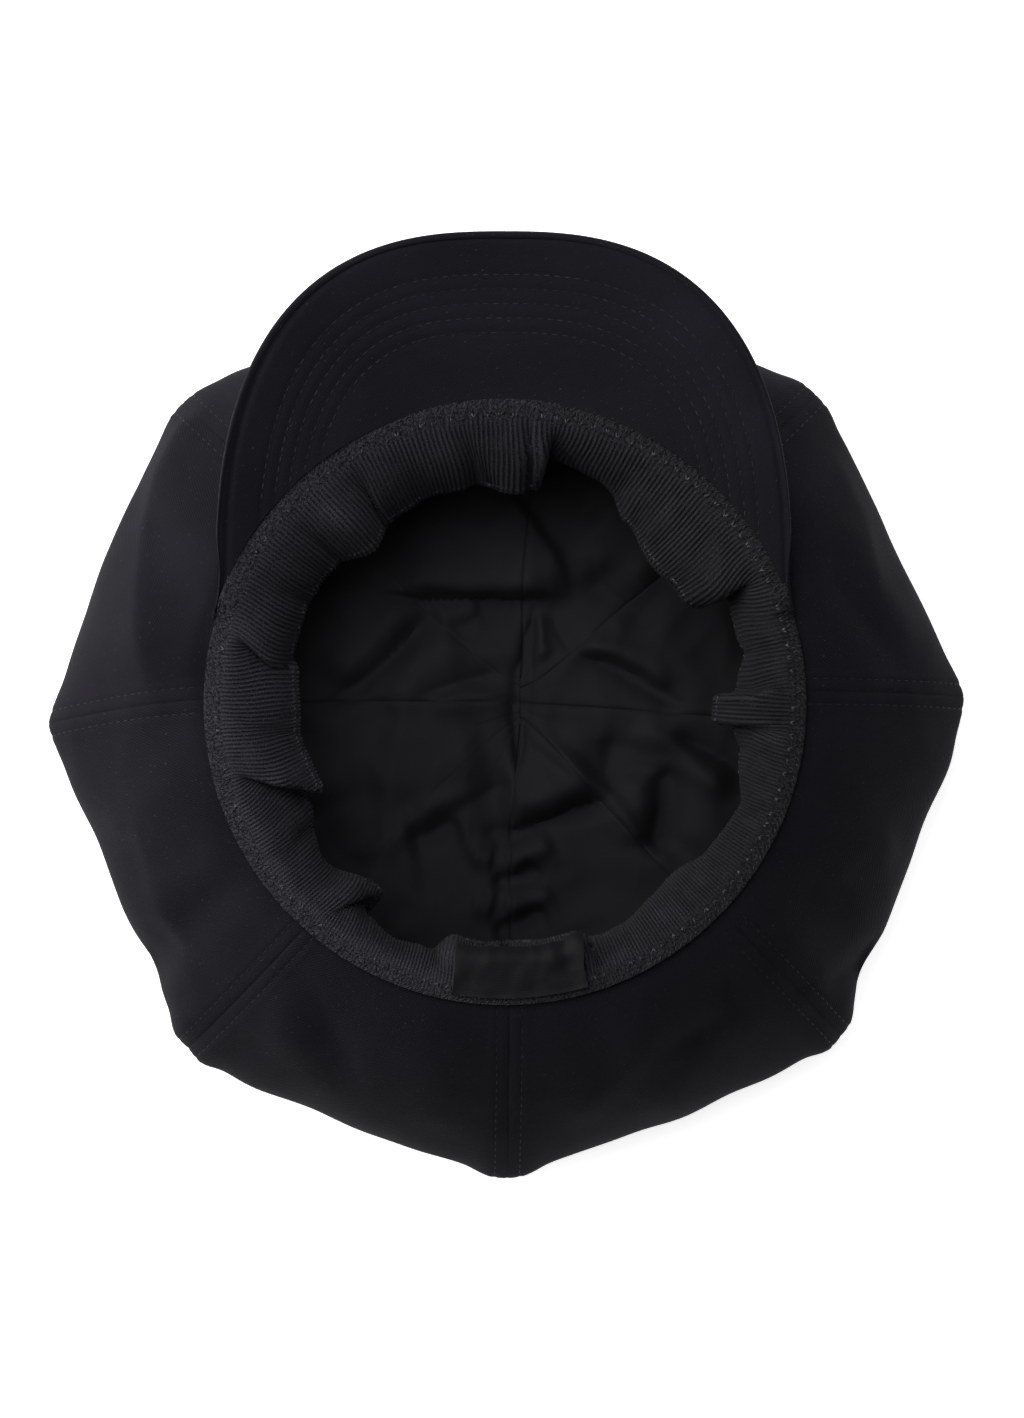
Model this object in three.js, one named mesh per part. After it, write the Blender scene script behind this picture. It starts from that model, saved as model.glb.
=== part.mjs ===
// An eight-panel cloth cap with a short peak, lying upside down on its crown.
// Millimetres. +Z is up, +Y points out over the peak, and z = 0 is the surface that the crown lies on.

import * as THREE from 'three';

// Driving dimensions of the crown

const crownRadius = 147; // centre to the widest line, along an average seam
const restRadius = 72; // radius of the cloth that lies flat on the surface
const edgeHeight = 27; // height of the widest line
const rimHeight = 66; // height of the opening's edge
const topFullness = 2; // section from the flat cloth out to the widest line: 2 is an ellipse
const seamFullness = 1.25; // section from the widest line to the opening, along a seam: 1 is straight
const panelFullness = 1.5; // the same section, down the middle of a panel
const tipRadius = 1.5; // how near the centre the points of the panels come
const twillWall = 1.2; // outer cloth
const liningWall = 1; // lining cloth
const seamGap = 0.3; // between one panel and the next
const layerGap = 0.3; // between one layer and the next
const foldDepth = 3; // deepest fold in the cloth between the widest line and the opening
const foldStart = 0.2; // how far into its rise and fall a fold is at the widest line

// Driving dimensions of the opening and its sweatband

const rimRadius = 94; // outer edge of the sweatband
const rimShiftX = -0.6; // the opening's centre, seen from the crown's
const rimShiftY = -1.2;
const bandOverhang = 0.3; // how far the sweatband reaches past the cloth that it is sewn to
const bandWidth = 34;
const bandWall = 1.2;
const marginWidth = 6; // stitched margin of the sweatband, which lies level
const bandRoll = 4; // how far the sweatband rolls over before it falls

// Driving dimensions of the label

const labelLength = 44;
const labelHeight = 13.5;
const labelWall = 1;
const labelAngle = 273; // degrees round the opening
const labelInset = 5; // from the sweatband's outer edge to the label

// Driving dimensions of the peak

const peakLength = 51.5; // from the opening's edge to the peak's, at the front
const peakRootAngle = 20.7; // degrees from the side to where the peak starts
const hornWidth = 4; // width of the peak's two ends
const peakSquareness = 2.6; // plan outline: 2 is an ellipse
const peakTilt = 12.4; // degrees that the peak rises towards its edge
const boardThickness = 2.4; // board and upper cloth
const underWall = 1; // under cloth
const rollWidth = 2; // upper cloth rolled over the edge
const rollChamfer = 0.6;

// A row for each seam, counter-clockwise from +X: the degrees that it lies at, how far out its corner
// reaches as a share of crownRadius, how high the corner lies as a share of edgeHeight, how far the edge of
// the next panel bows out as a share of crownRadius, and that panel's name.
const seams = [
  { angle: 0.4, out: 0.999, lift: 1.0, bow: 0.011, panel: 'right_front' },
  { angle: 44.7, out: 0.946, lift: 1.12, bow: 0.01, panel: 'front_right' },
  { angle: 90, out: 0.962, lift: 1.15, bow: 0.01, panel: 'front_left' },
  { angle: 137.5, out: 0.955, lift: 1.12, bow: 0.022, panel: 'left_front' },
  { angle: 183, out: 1.003, lift: 1.0, bow: 0.006, panel: 'left_back' },
  { angle: 227.5, out: 1.036, lift: 0.92, bow: 0.024, panel: 'back_left' },
  { angle: 270, out: 1.043, lift: 0.9, bow: 0.022, panel: 'back_right' },
  { angle: 314.8, out: 1.043, lift: 0.92, bow: 0.016, panel: 'right_back' },
];

// A row for each fold between the widest line and the opening: the degrees where it meets each of them,
// its depth as a share of foldDepth (a ridge is negative) and its spread in degrees.
const folds = [
  { edge: 20, rim: 24, depth: 0.35, spread: 5 },
  { edge: 36, rim: 40, depth: 0.45, spread: 4 },
  { edge: 146, rim: 167, depth: 1.0, spread: 6 },
  { edge: 160, rim: 178, depth: -0.4, spread: 5 },
  { edge: 198, rim: 207, depth: 0.55, spread: 5 },
  { edge: 217, rim: 213, depth: 1.0, spread: 4 },
  { edge: 246, rim: 241, depth: 0.5, spread: 5 },
  { edge: 259, rim: 256, depth: -0.35, spread: 4 },
  { edge: 288, rim: 284, depth: 0.4, spread: 4 },
  { edge: 302, rim: 298, depth: 0.7, spread: 5 },
  { edge: 323, rim: 328, depth: 0.9, spread: 4 },
  { edge: 343, rim: 340, depth: 0.4, spread: 5 },
];

// A row for each wave of the sweatband's free edge: the degrees that it lies at, and how far the free edge
// leans in over the opening, as a share of bandWidth.
const waves = [
  { angle: 0, lean: 0.73 },
  { angle: 13, lean: 0.49 },
  { angle: 23, lean: 0.47 },
  { angle: 34, lean: 0.8 },
  { angle: 43, lean: 0.84 },
  { angle: 56, lean: 0.69 },
  { angle: 67, lean: 0.47 },
  { angle: 77, lean: 0.42 },
  { angle: 87, lean: 0.73 },
  { angle: 106, lean: 0.67 },
  { angle: 129, lean: 0.82 },
  { angle: 146, lean: 0.69 },
  { angle: 167, lean: 0.68 },
  { angle: 180, lean: 0.85 },
  { angle: 200, lean: 0.84 },
  { angle: 225, lean: 0.52 },
  { angle: 234, lean: 0.6 },
  { angle: 246, lean: 0.16 },
  { angle: 259, lean: 0.56 },
  { angle: 270, lean: 0.62 },
  { angle: 283, lean: 0.56 },
  { angle: 296, lean: 0.32 },
  { angle: 314, lean: 0.47 },
  { angle: 333, lean: 0.28 },
  { angle: 347, lean: 0.48 },
];

// Where the section of the crown is sampled, in degrees of its two curves

const flatSteps = 2;
const topStops = [22, 42, 58, 72, 82, 90];
const sideStops = [14, 28, 42, 56, 70, 82, 90];
const panelSteps = 7;
const bandSteps = 90;
const bandRows = 3;
const peakSteps = 32;
const peakRows = 4;

const degrees = Math.PI / 180;
const quarterTurn = 90;
const fullTurn = 360;
const smallStep = 1e-3;
const bandStep = fullTurn / bandSteps;

// Colours and finishes

const twillCloth = { color: 0x17171c, roughness: 0.85, metalness: 0 };
const liningCloth = { color: 0x121213, roughness: 0.6, metalness: 0 };
const bandTape = { color: 0x1b1b1e, roughness: 0.7, metalness: 0 };
const labelTape = { color: 0x232326, roughness: 0.5, metalness: 0 };

// Helpers

const mix = (a, b, share) => a + (b - a) * share;

const ease = (share) => share * share * (3 - 2 * share);

const wrapDegrees = (angle) => ((angle % fullTurn) + fullTurn) % fullTurn;

const bump = (distance, spread) => Math.exp(-((distance / spread) ** 2));

function nearestTurn(angle) {
  const wrapped = wrapDegrees(angle);
  return wrapped > fullTurn / 2 ? wrapped - fullTurn : wrapped;
}

// The two rows of a table round a circle that an angle lies between, and how far it is from the first to
// the next
function between(rows, angle) {
  const last = rows.length - 1;
  const start = rows[0].angle;
  const at = wrapDegrees(angle - start);
  let index = last;
  while (index > 0 && rows[index].angle - start > at) index -= 1;
  const row = rows[index];
  const next = rows[(index + 1) % rows.length];
  const span = index === last ? next.angle + fullTurn - row.angle : next.angle - row.angle;
  return { row, next, span, share: (at - (row.angle - start)) / span };
}

// A closed solid between two faces, each a grid of points with as many rows and columns. A ring joins its
// last row to its first.
function solidBetween(faceA, faceB, ring = false) {
  const rows = faceA.length;
  const columns = faceA[0].length;
  const positions = [];
  for (const face of [faceA, faceB]) {
    for (const row of face) {
      for (const point of row) positions.push(point.x, point.y, point.z);
    }
  }
  const at = (side, i, j) => (side * rows + (i % rows)) * columns + j;
  const index = [];
  const quad = (a, b, c, d) => index.push(a, b, c, a, c, d);
  const steps = ring ? rows : rows - 1;
  for (let i = 0; i < steps; i += 1) {
    for (let j = 0; j < columns - 1; j += 1) {
      quad(at(0, i, j), at(0, i + 1, j), at(0, i + 1, j + 1), at(0, i, j + 1));
      quad(at(1, i, j), at(1, i, j + 1), at(1, i + 1, j + 1), at(1, i + 1, j));
    }
    const last = columns - 1;
    quad(at(0, i, 0), at(1, i, 0), at(1, i + 1, 0), at(0, i + 1, 0));
    quad(at(0, i, last), at(0, i + 1, last), at(1, i + 1, last), at(1, i, last));
  }
  if (!ring) {
    for (let j = 0; j < columns - 1; j += 1) {
      quad(at(0, 0, j), at(0, 0, j + 1), at(1, 0, j + 1), at(1, 0, j));
      quad(at(0, steps, j), at(1, steps, j), at(1, steps, j + 1), at(0, steps, j + 1));
    }
  }
  return outward(positions, index);
}

// Turns every face over if the solid came out inside out
function outward(positions, index) {
  const corner = (n) => new THREE.Vector3().fromArray(positions, 3 * index[n]);
  let volume = 0;
  for (let n = 0; n < index.length; n += 3) {
    volume += corner(n).dot(corner(n + 1).cross(corner(n + 2)));
  }
  if (volume < 0) index.reverse();
  const geometry = new THREE.BufferGeometry();
  geometry.setAttribute('position', new THREE.Float32BufferAttribute(positions, 3));
  geometry.setIndex(index);
  geometry.computeVertexNormals();
  return geometry;
}

function piece(name, geometry, finish) {
  const mesh = new THREE.Mesh(geometry, new THREE.MeshStandardMaterial(finish));
  mesh.name = name;
  return mesh;
}

// Crown: its outline at the widest line

function edgeAt(angle) {
  const { row, next, span, share } = between(seams, angle);
  const fromRow = row.out * Math.sin(share * span * degrees);
  const toNext = next.out * Math.sin((1 - share) * span * degrees);
  const chord = (row.out * next.out * Math.sin(span * degrees)) / (fromRow + toNext);
  const middle = Math.sin(Math.PI * share);
  return {
    radius: crownRadius * (chord + row.bow * middle),
    height: edgeHeight * mix(row.lift, next.lift, ease(share)),
    fullness: mix(seamFullness, panelFullness, middle),
  };
}

// Distance from the crown's centre to the cloth's end at the opening, which is round about its own centre
function rimAt(angle) {
  const x = Math.cos(angle * degrees);
  const y = Math.sin(angle * degrees);
  const along = rimShiftX * x + rimShiftY * y;
  const across = rimShiftX * y - rimShiftY * x;
  return along + Math.sqrt((rimRadius - bandOverhang) ** 2 - across ** 2);
}

// Depth of the folds at an angle, a share of the way from the widest line to the opening, where they fade
// out
function foldAt(angle, share) {
  const fade = Math.sin(Math.PI * mix(foldStart, 1, share));
  let depth = 0;
  for (const fold of folds) {
    const centre = mix(fold.edge, fold.rim, share);
    depth += fold.depth * bump(nearestTurn(angle - centre), fold.spread);
  }
  return foldDepth * depth * fade;
}

// Section of the crown's outer face at an angle. Stage 0 to 1 is the flat cloth, 1 to 2 runs out to the
// widest line, and 2 to 3 back in to the opening.
function sectionAt(angle, stage) {
  const edge = edgeAt(angle);
  if (stage <= 1) return new THREE.Vector2(mix(tipRadius, restRadius, stage), 0);
  if (stage <= 2) {
    const turn = ((stage - 1) * Math.PI) / 2;
    const power = 2 / topFullness;
    return new THREE.Vector2(
      mix(restRadius, edge.radius, Math.sin(turn) ** power),
      edge.height * (1 - Math.cos(turn) ** power)
    );
  }
  const turn = (Math.min(stage - 2, 1) * Math.PI) / 2;
  const power = 2 / edge.fullness;
  return new THREE.Vector2(
    mix(rimAt(angle), edge.radius, Math.max(Math.cos(turn), 0) ** power),
    mix(edge.height, rimHeight, Math.sin(turn) ** power)
  );
}

// The way into the cloth at a place on that section, square to it
function inwardAt(angle, stage) {
  const before = sectionAt(angle, Math.max(stage - smallStep, 0));
  const after = sectionAt(angle, Math.min(stage + smallStep, 3));
  const along = after.sub(before).normalize();
  return new THREE.Vector2(-along.y, along.x);
}

function sectionInset(angle, stage, inset) {
  const fold = stage > 2 ? foldAt(angle, stage - 2) : foldAt(angle, 0) * ease(Math.max(stage - 1, 0));
  return sectionAt(angle, stage).addScaledVector(inwardAt(angle, stage), inset + fold);
}

const crownStages = [
  ...Array.from({ length: flatSteps }, (_, n) => n / flatSteps),
  1,
  ...topStops.map((stop) => 1 + stop / quarterTurn),
  ...sideStops.map((stop) => 2 + stop / quarterTurn),
];

// One face of a panel, some way in from the crown's outer face, with half the seam's gap left at each side
function panelFace(seamIndex, stages, inset) {
  const seam = seams[seamIndex];
  const next = seams[(seamIndex + 1) % seams.length];
  const span = wrapDegrees(next.angle - seam.angle);
  return Array.from({ length: panelSteps + 1 }, (_, step) =>
    stages.map((stage) => {
      const middle = seam.angle + (step / panelSteps) * span;
      const reach = sectionAt(middle, stage).x;
      const trim = Math.asin(seamGap / 2 / reach) / degrees;
      const angle = seam.angle + trim + (step / panelSteps) * (span - 2 * trim);
      const place = sectionInset(angle, stage, inset);
      const turn = angle * degrees;
      return new THREE.Vector3(place.x * Math.cos(turn), place.x * Math.sin(turn), place.y);
    })
  );
}

function crownPanel(seamIndex) {
  const outer = panelFace(seamIndex, crownStages, 0);
  const inner = panelFace(seamIndex, crownStages, twillWall);
  return piece(`crown_panel_${seams[seamIndex].panel}`, solidBetween(outer, inner), twillCloth);
}

// The lining follows the twill and ends one stop short of the opening, under the sweatband
function liningPanel(seamIndex) {
  const stages = crownStages.slice(0, -1);
  const outer = panelFace(seamIndex, stages, twillWall + layerGap);
  const inner = panelFace(seamIndex, stages, twillWall + layerGap + liningWall);
  return piece(`lining_panel_${seams[seamIndex].panel}`, solidBetween(outer, inner), liningCloth);
}

// Sweatband: its underside, a share of the way from the outer edge to the free one

const bandBase = rimHeight + layerGap;

function leanAt(angle) {
  const { row, next, share } = between(waves, angle);
  return mix(row.lean, next.lean, ease(share));
}

// The stitched margin lies level, and the rest rolls over from it and leans in
function bandUnderside(angle, share) {
  const hanging = bandWidth - marginWidth;
  const lean = leanAt(angle) * bandWidth - marginWidth;
  const drop = Math.sqrt(hanging ** 2 - lean ** 2);
  const along = share * bandWidth;
  const down = Math.max(along - marginWidth, 0) / hanging;
  const reach = Math.min(along, marginWidth) + 2 * down * (1 - down) * bandRoll + down ** 2 * lean;
  const radius = rimRadius - reach;
  return new THREE.Vector3(
    rimShiftX + radius * Math.cos(angle * degrees),
    rimShiftY + radius * Math.sin(angle * degrees),
    bandBase - down ** 2 * drop
  );
}

// A place some way above that underside, square to it
function bandPlace(angle, share, above) {
  const low = Math.max(share - smallStep, 0);
  const high = Math.min(share + smallStep, 1);
  const inwards = bandUnderside(angle, high).sub(bandUnderside(angle, low));
  const round = bandUnderside(angle + smallStep, share).sub(bandUnderside(angle - smallStep, share));
  const up = inwards.cross(round).normalize();
  return bandUnderside(angle, share).addScaledVector(up, up.z < 0 ? -above : above);
}

const bandStops = [
  0,
  ...Array.from({ length: bandRows + 1 }, (_, n) => mix(marginWidth / bandWidth, 1, n / bandRows)),
];

function sweatband() {
  const column = (angle, above) => bandStops.map((stop) => bandPlace(angle, stop, above));
  const face = (above) => Array.from({ length: bandSteps }, (_, step) => column(step * bandStep, above));
  return piece('sweatband', solidBetween(face(0), face(bandWall), true), bandTape);
}

// The same place on the flat facets between the sweatband's points
function bandFacet(angle, share, above) {
  const step = Math.floor(angle / bandStep);
  const row = bandStops.findLastIndex((stop, n) => stop <= share && n < bandStops.length - 1);
  const round = angle / bandStep - step;
  const inwards = (share - bandStops[row]) / (bandStops[row + 1] - bandStops[row]);
  const corner = (i, j) => bandPlace((step + i) * bandStep, bandStops[row + j], above);
  return corner(0, 0).lerp(corner(1, 0), round).lerp(corner(0, 1).lerp(corner(1, 1), round), inwards);
}

// Label: it lies on the sweatband and bends where that bends

function label() {
  const halfSpan = labelLength / rimRadius / degrees / 2;
  const first = labelAngle - halfSpan;
  const last = labelAngle + halfSpan;
  const start = labelInset / bandWidth;
  const end = (labelInset + labelHeight) / bandWidth;
  const bends = Array.from({ length: bandSteps }, (_, step) => step * bandStep);
  const angles = [first, ...bends.filter((angle) => angle > first && angle < last), last];
  const shares = [start, ...bandStops.filter((stop) => stop > start && stop < end), end];
  const face = (above) =>
    angles.map((angle) => shares.map((share) => bandFacet(angle, share, bandWall + layerGap + above)));
  return piece('label', solidBetween(face(0), face(labelWall)), labelTape);
}

// Peak: its plan runs from the opening's edge to a squared ellipse between the two ends

const peakInner = rimRadius + layerGap;
const rootX = peakInner * Math.cos(peakRootAngle * degrees) + hornWidth;
const rootY = peakInner * Math.sin(peakRootAngle * degrees);
const peakReach = rimRadius + peakLength - rootY;
const peakRise = Math.tan(peakTilt * degrees);
const peakCurl = (peakRise * (peakInner - rootY)) / (rootX - hornWidth) ** 2;

function peakInnerEdge(share) {
  const angle = mix(peakRootAngle, 180 - peakRootAngle, share) * degrees;
  return new THREE.Vector2(peakInner * Math.cos(angle), peakInner * Math.sin(angle));
}

function peakOuterEdge(share) {
  const turn = share * Math.PI;
  const power = 2 / peakSquareness;
  const across = Math.sign(Math.cos(turn)) * Math.abs(Math.cos(turn)) ** power;
  const out = Math.max(Math.sin(turn), 0) ** power;
  return new THREE.Vector2(rootX * across, rootY + peakReach * out);
}

// Underside of the board at a place in plan: it tilts up to the front and curls up to both sides
function boardHeight(place) {
  return rimHeight + peakRise * (place.y - peakInner) + peakCurl * place.x ** 2;
}

// A face of the peak. Each column is a distance in from the outer edge, or none for a share of the way
// there, and a height above the board's underside.
function peakFace(columns) {
  return Array.from({ length: peakSteps + 1 }, (_, step) => {
    const inner = peakInnerEdge(step / peakSteps);
    const outer = peakOuterEdge(step / peakSteps);
    const depth = inner.distanceTo(outer);
    return columns.map(({ share, fromEdge, above }) => {
      const way = share === undefined ? 1 - fromEdge / depth : share * (1 - rollWidth / depth);
      const place = inner.clone().lerp(outer, way);
      return new THREE.Vector3(rimShiftX + place.x, rimShiftY + place.y, boardHeight(place) + above);
    });
  });
}

// Columns from the opening's edge to where the upper cloth rolls over
const acrossPeak = (above) =>
  Array.from({ length: peakRows + 1 }, (_, n) => ({ share: n / peakRows, above }));

function peak() {
  const rollTop = boardThickness + layerGap + underWall;
  const top = peakFace([
    ...acrossPeak(boardThickness),
    { fromEdge: rollWidth, above: rollTop },
    { fromEdge: rollChamfer, above: rollTop },
    { fromEdge: 0, above: rollTop - rollChamfer },
  ]);
  const bottom = peakFace([
    ...acrossPeak(0),
    { fromEdge: rollWidth - rollChamfer, above: 0 },
    { fromEdge: rollChamfer, above: 0 },
    { fromEdge: 0, above: rollChamfer },
  ]);
  return piece('peak', solidBetween(top, bottom), twillCloth);
}

function peakUnder() {
  const face = (above) =>
    peakFace([...acrossPeak(above).slice(0, -1), { fromEdge: rollWidth + layerGap, above }]);
  const base = boardThickness + layerGap;
  return piece('peak_under', solidBetween(face(base + underWall), face(base)), twillCloth);
}

// The cap, with its origin under the middle of its overall length and width

const cap = new THREE.Group();
seams.forEach((_, seamIndex) => cap.add(crownPanel(seamIndex)));
seams.forEach((_, seamIndex) => cap.add(liningPanel(seamIndex)));
cap.add(sweatband(), label(), peak(), peakUnder());

const middle = new THREE.Box3().setFromObject(cap).getCenter(new THREE.Vector3());
cap.position.set(-middle.x, -middle.y, 0);

export default cap;
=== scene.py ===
# %% [markdown]
# # An eight-panel cloth cap, upside down
# This lesson dresses a plain model of a cap as a real one: black cotton twill outside, a thin smooth
# lining, a ribbed elastic sweatband with a bare label, and a stiff peak with five rows of stitches. The
# plain model comes first and stays fixed. It tells where each piece is, and each new piece stands in for
# one of its solids.

# %% Load the plain model
import math
from collections import namedtuple

import bpy
import numpy as np
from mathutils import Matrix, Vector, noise


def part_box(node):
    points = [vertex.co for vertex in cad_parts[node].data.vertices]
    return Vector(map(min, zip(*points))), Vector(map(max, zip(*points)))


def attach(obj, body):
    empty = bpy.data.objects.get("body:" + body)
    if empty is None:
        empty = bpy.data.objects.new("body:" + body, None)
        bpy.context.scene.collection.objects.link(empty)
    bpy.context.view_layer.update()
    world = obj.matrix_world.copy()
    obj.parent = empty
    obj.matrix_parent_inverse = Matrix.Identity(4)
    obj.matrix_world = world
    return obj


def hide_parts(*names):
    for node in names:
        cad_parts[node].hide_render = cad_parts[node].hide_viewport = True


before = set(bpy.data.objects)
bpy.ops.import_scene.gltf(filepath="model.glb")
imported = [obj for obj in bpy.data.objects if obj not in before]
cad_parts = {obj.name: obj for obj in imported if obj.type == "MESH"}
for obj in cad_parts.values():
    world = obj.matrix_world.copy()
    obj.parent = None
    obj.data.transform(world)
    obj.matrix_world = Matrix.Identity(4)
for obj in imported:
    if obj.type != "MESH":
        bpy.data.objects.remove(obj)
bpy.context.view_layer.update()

bpy.ops.object.select_all(action="DESELECT")

# %% [markdown]
# ## Sizes
# Cloth is easiest to think of in millimetres, so every size below is in them, and only the last step of
# each mesh turns them into metres. The sizes are the ones that the plain model was cut to, because the
# cloth has to lie where its solids are.

# %% Sizes of the crown
CROWN_RADIUS = 147
REST_RADIUS = 72
EDGE_HEIGHT = 27
RIM_HEIGHT = 66
TOP_FULLNESS = 2
SEAM_FULLNESS = 1.25
PANEL_FULLNESS = 1.5
TIP_RADIUS = 0.1
TWILL_WALL = 1.2
LINING_WALL = 1
LAYER_GAP = 0.3
FOLD_DEPTH = 3
FOLD_START = 0.2

# %% Sizes of the opening, the label and the peak
RIM_RADIUS = 94
RIM_SHIFT_X = -0.6
RIM_SHIFT_Y = -1.2
BAND_OVERHANG = 0.3
BAND_WIDTH = 34
BAND_WALL = 1.2
MARGIN_WIDTH = 6
BORDER_WIDTH = 3
LABEL_LENGTH = 44
LABEL_HEIGHT = 13.5
LABEL_ANGLE = 273
LABEL_INSET = 2.2
PEAK_LENGTH = 52
PEAK_ROOT_ANGLE = 20.7
HORN_WIDTH = 1.5
PEAK_SQUARENESS = 2.6
PEAK_TILT = 12.4
BOARD_THICKNESS = 2.4
UNDER_WALL = 1
ROLL_WIDTH = 2

# %% [markdown]
# The crown's corners, its folds and the waves of the sweatband are short tables. Each row is one seam,
# fold or wave, and the name of each column stands in its head.

# %% Tables
PANELS = ["right_front", "front_right", "front_left", "left_front",
          "left_back", "back_left", "back_right", "right_back"]

SEAM_COLUMNS = "angle out lift bow"
SEAMS = [
    (0.4, 0.999, 1.0, 0.011),
    (44.7, 0.946, 1.12, 0.01),
    (90, 0.962, 1.15, 0.01),
    (137.5, 0.955, 1.12, 0.022),
    (183, 1.003, 1.0, 0.006),
    (227.5, 1.036, 0.92, 0.024),
    (270, 1.043, 0.9, 0.022),
    (314.8, 1.043, 0.92, 0.016),
]

FOLD_COLUMNS = "edge rim depth spread"
FOLDS = [
    (20, 24, 0.35, 5),
    (36, 40, 0.45, 4),
    (146, 167, 1.0, 6),
    (160, 178, -0.4, 5),
    (198, 207, 0.55, 5),
    (217, 213, 1.0, 4),
    (246, 241, 0.5, 5),
    (259, 256, -0.35, 4),
    (288, 284, 0.4, 4),
    (302, 298, 0.7, 5),
    (323, 328, 0.9, 4),
    (343, 340, 0.4, 5),
]

WAVE_COLUMNS = "angle lean"
WAVES = [
    (0, 0.75), (6, 0.57), (13, 0.49), (23, 0.47), (27, 0.58), (34, 0.8), (43, 0.84), (56, 0.69),
    (67, 0.47), (79, 0.42), (84, 0.72), (89, 0.75), (97, 0.68), (106, 0.67), (118, 0.7), (129, 0.82),
    (146, 0.69), (168, 0.66), (175, 0.84), (190, 0.82), (202, 0.84), (209, 0.74), (222, 0.5),
    (234, 0.62), (239, 0.36), (246, 0.16), (252, 0.24), (259, 0.58), (270, 0.62), (283, 0.58),
    (288, 0.52), (293, 0.34), (299, 0.36), (314, 0.49), (333, 0.28), (347, 0.48), (352, 0.6), (356, 0.76),
]

print("seams:", len(SEAMS), "folds:", len(FOLDS), "waves:", len(WAVES))

# %% [markdown]
# ## Small helpers
# A share runs from 0 to 1. `ease` starts and stops gently, `bump` is a soft hill, and `between` finds
# the two rows of a table round a circle that an angle lies between.

# %% Helpers for numbers
def table(columns, rows):
    """A named tuple of arrays, one for each column."""
    return namedtuple("Table", columns)(*np.array(rows, float).T)


def named_rows(columns, rows):
    """The same rows, each with its columns named."""
    row_kind = namedtuple("Row", columns)
    return [row_kind(*row) for row in rows]


def mix(a, b, share):
    return a + (b - a) * share


def ease(share):
    share = np.clip(share, 0, 1)
    return share * share * (3 - 2 * share)


def bump(distance, spread):
    return np.exp(-((distance / spread) ** 2))


def nearest_turn(angle):
    return (angle + 180) % 360 - 180


def between(angles, angle):
    at = (angle - angles[0]) % 360
    starts = angles - angles[0]
    row = np.searchsorted(starts, at, side="right") - 1
    following = (row + 1) % len(angles)
    span = (starts[following] - starts[row]) % 360
    return row, following, span, (at - starts[row]) / span


seams = table(SEAM_COLUMNS, SEAMS)
folds = named_rows(FOLD_COLUMNS, FOLDS)
waves = table(WAVE_COLUMNS, WAVES)
print("widest seam reaches", round(float(seams.out.max() * CROWN_RADIUS), 1), "mm from the centre")

# %% [markdown]
# Real cloth is never quite even, so the smooth formulas get a little soft noise. Blender's own noise
# always gives the same answer for the same place, so nothing here is random from one run to the next.

# %% Noise that repeats
def soft_noise(points, size, seed=0.0):
    """From -1 to 1, with hills about `size` millimetres apart."""
    flat = np.asarray(points, float).reshape(-1, 3) / size + seed
    values = [noise.noise(place) for place in flat.tolist()]
    return np.array(values).reshape(np.shape(points)[:-1])


def line_noise(along, size, seed):
    points = np.stack([along, np.full_like(along, seed), np.full_like(along, 0.5 * seed)], -1)
    return soft_noise(points, size)


print("noise at one place:", round(float(soft_noise([[10.0, 20.0, 30.0]], 7)[0]), 3))

# %% [markdown]
# ## Strokes
# A fold, a crease or a soft mound is drawn as a stroke: a short route over the cap as seen from above, a
# height, and how far it falls away on its left and on its right. A small number on one side makes a
# sharp lip. A ridge is round on top and a valley is sharp at the bottom, as cloth folds are.

# %% Helpers for strokes
def route_distance(x, y, route):
    """How far each place lies from a route, on which side of it, and how far along it is."""
    route = np.array(route, float)
    lengths = np.hypot(*(route[1:] - route[:-1]).T)
    starts = np.concatenate([[0], np.cumsum(lengths)])
    best = np.full(np.shape(x), 1e9)
    side = np.ones(np.shape(x))
    along = np.zeros(np.shape(x))
    for n, (start, end) in enumerate(zip(route[:-1], route[1:])):
        way = (end - start) / lengths[n]
        ahead = (x - start[0]) * way[0] + (y - start[1]) * way[1]
        left = (y - start[1]) * way[0] - (x - start[0]) * way[1]
        on = np.clip(ahead, 0, lengths[n])
        distance = np.hypot(ahead - on, left)
        nearer = distance < best
        best = np.where(nearer, distance, best)
        side = np.where(nearer, np.sign(left), side)
        along = np.where(nearer, (starts[n] + on) / starts[-1], along)
    return best, side, along


def strokes_at(x, y, strokes, crisp=False):
    """The height that all strokes add at each place. A crisp ridge has a sharp crest too."""
    total = np.zeros(np.shape(x))
    for height, left, right, *route in strokes:
        distance, side, along = route_distance(x, y, route)
        width = np.where(side > 0, left, right)
        sharp = np.exp((0.7 - np.hypot(distance, 0.7)) / width)
        profile = bump(distance, width) if height > 0 and not crisp else sharp
        total = total + height * profile * ease(4 * along) * ease(4 * (1 - along))
    return total


# %% [markdown]
# ## The shape of the crown
# The crown is drawn by its section. Stage 0 to 1 is the cloth that lies flat, 1 to 2 runs out to the
# widest line, and 2 to 3 comes back in to the opening. An angle and a stage together name one place.

# %% The crown's formulas
def edge_at(angle):
    row, following, span, share = between(seams.angle, angle)
    from_row = seams.out[row] * np.sin(np.radians(share * span))
    to_next = seams.out[following] * np.sin(np.radians((1 - share) * span))
    chord = seams.out[row] * seams.out[following] * np.sin(np.radians(span)) / (from_row + to_next)
    middle = np.sin(math.pi * share)
    radius = CROWN_RADIUS * (chord + seams.bow[row] * middle)
    height = EDGE_HEIGHT * mix(seams.lift[row], seams.lift[following], ease(share))
    return radius, height, mix(SEAM_FULLNESS, PANEL_FULLNESS, middle)


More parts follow.
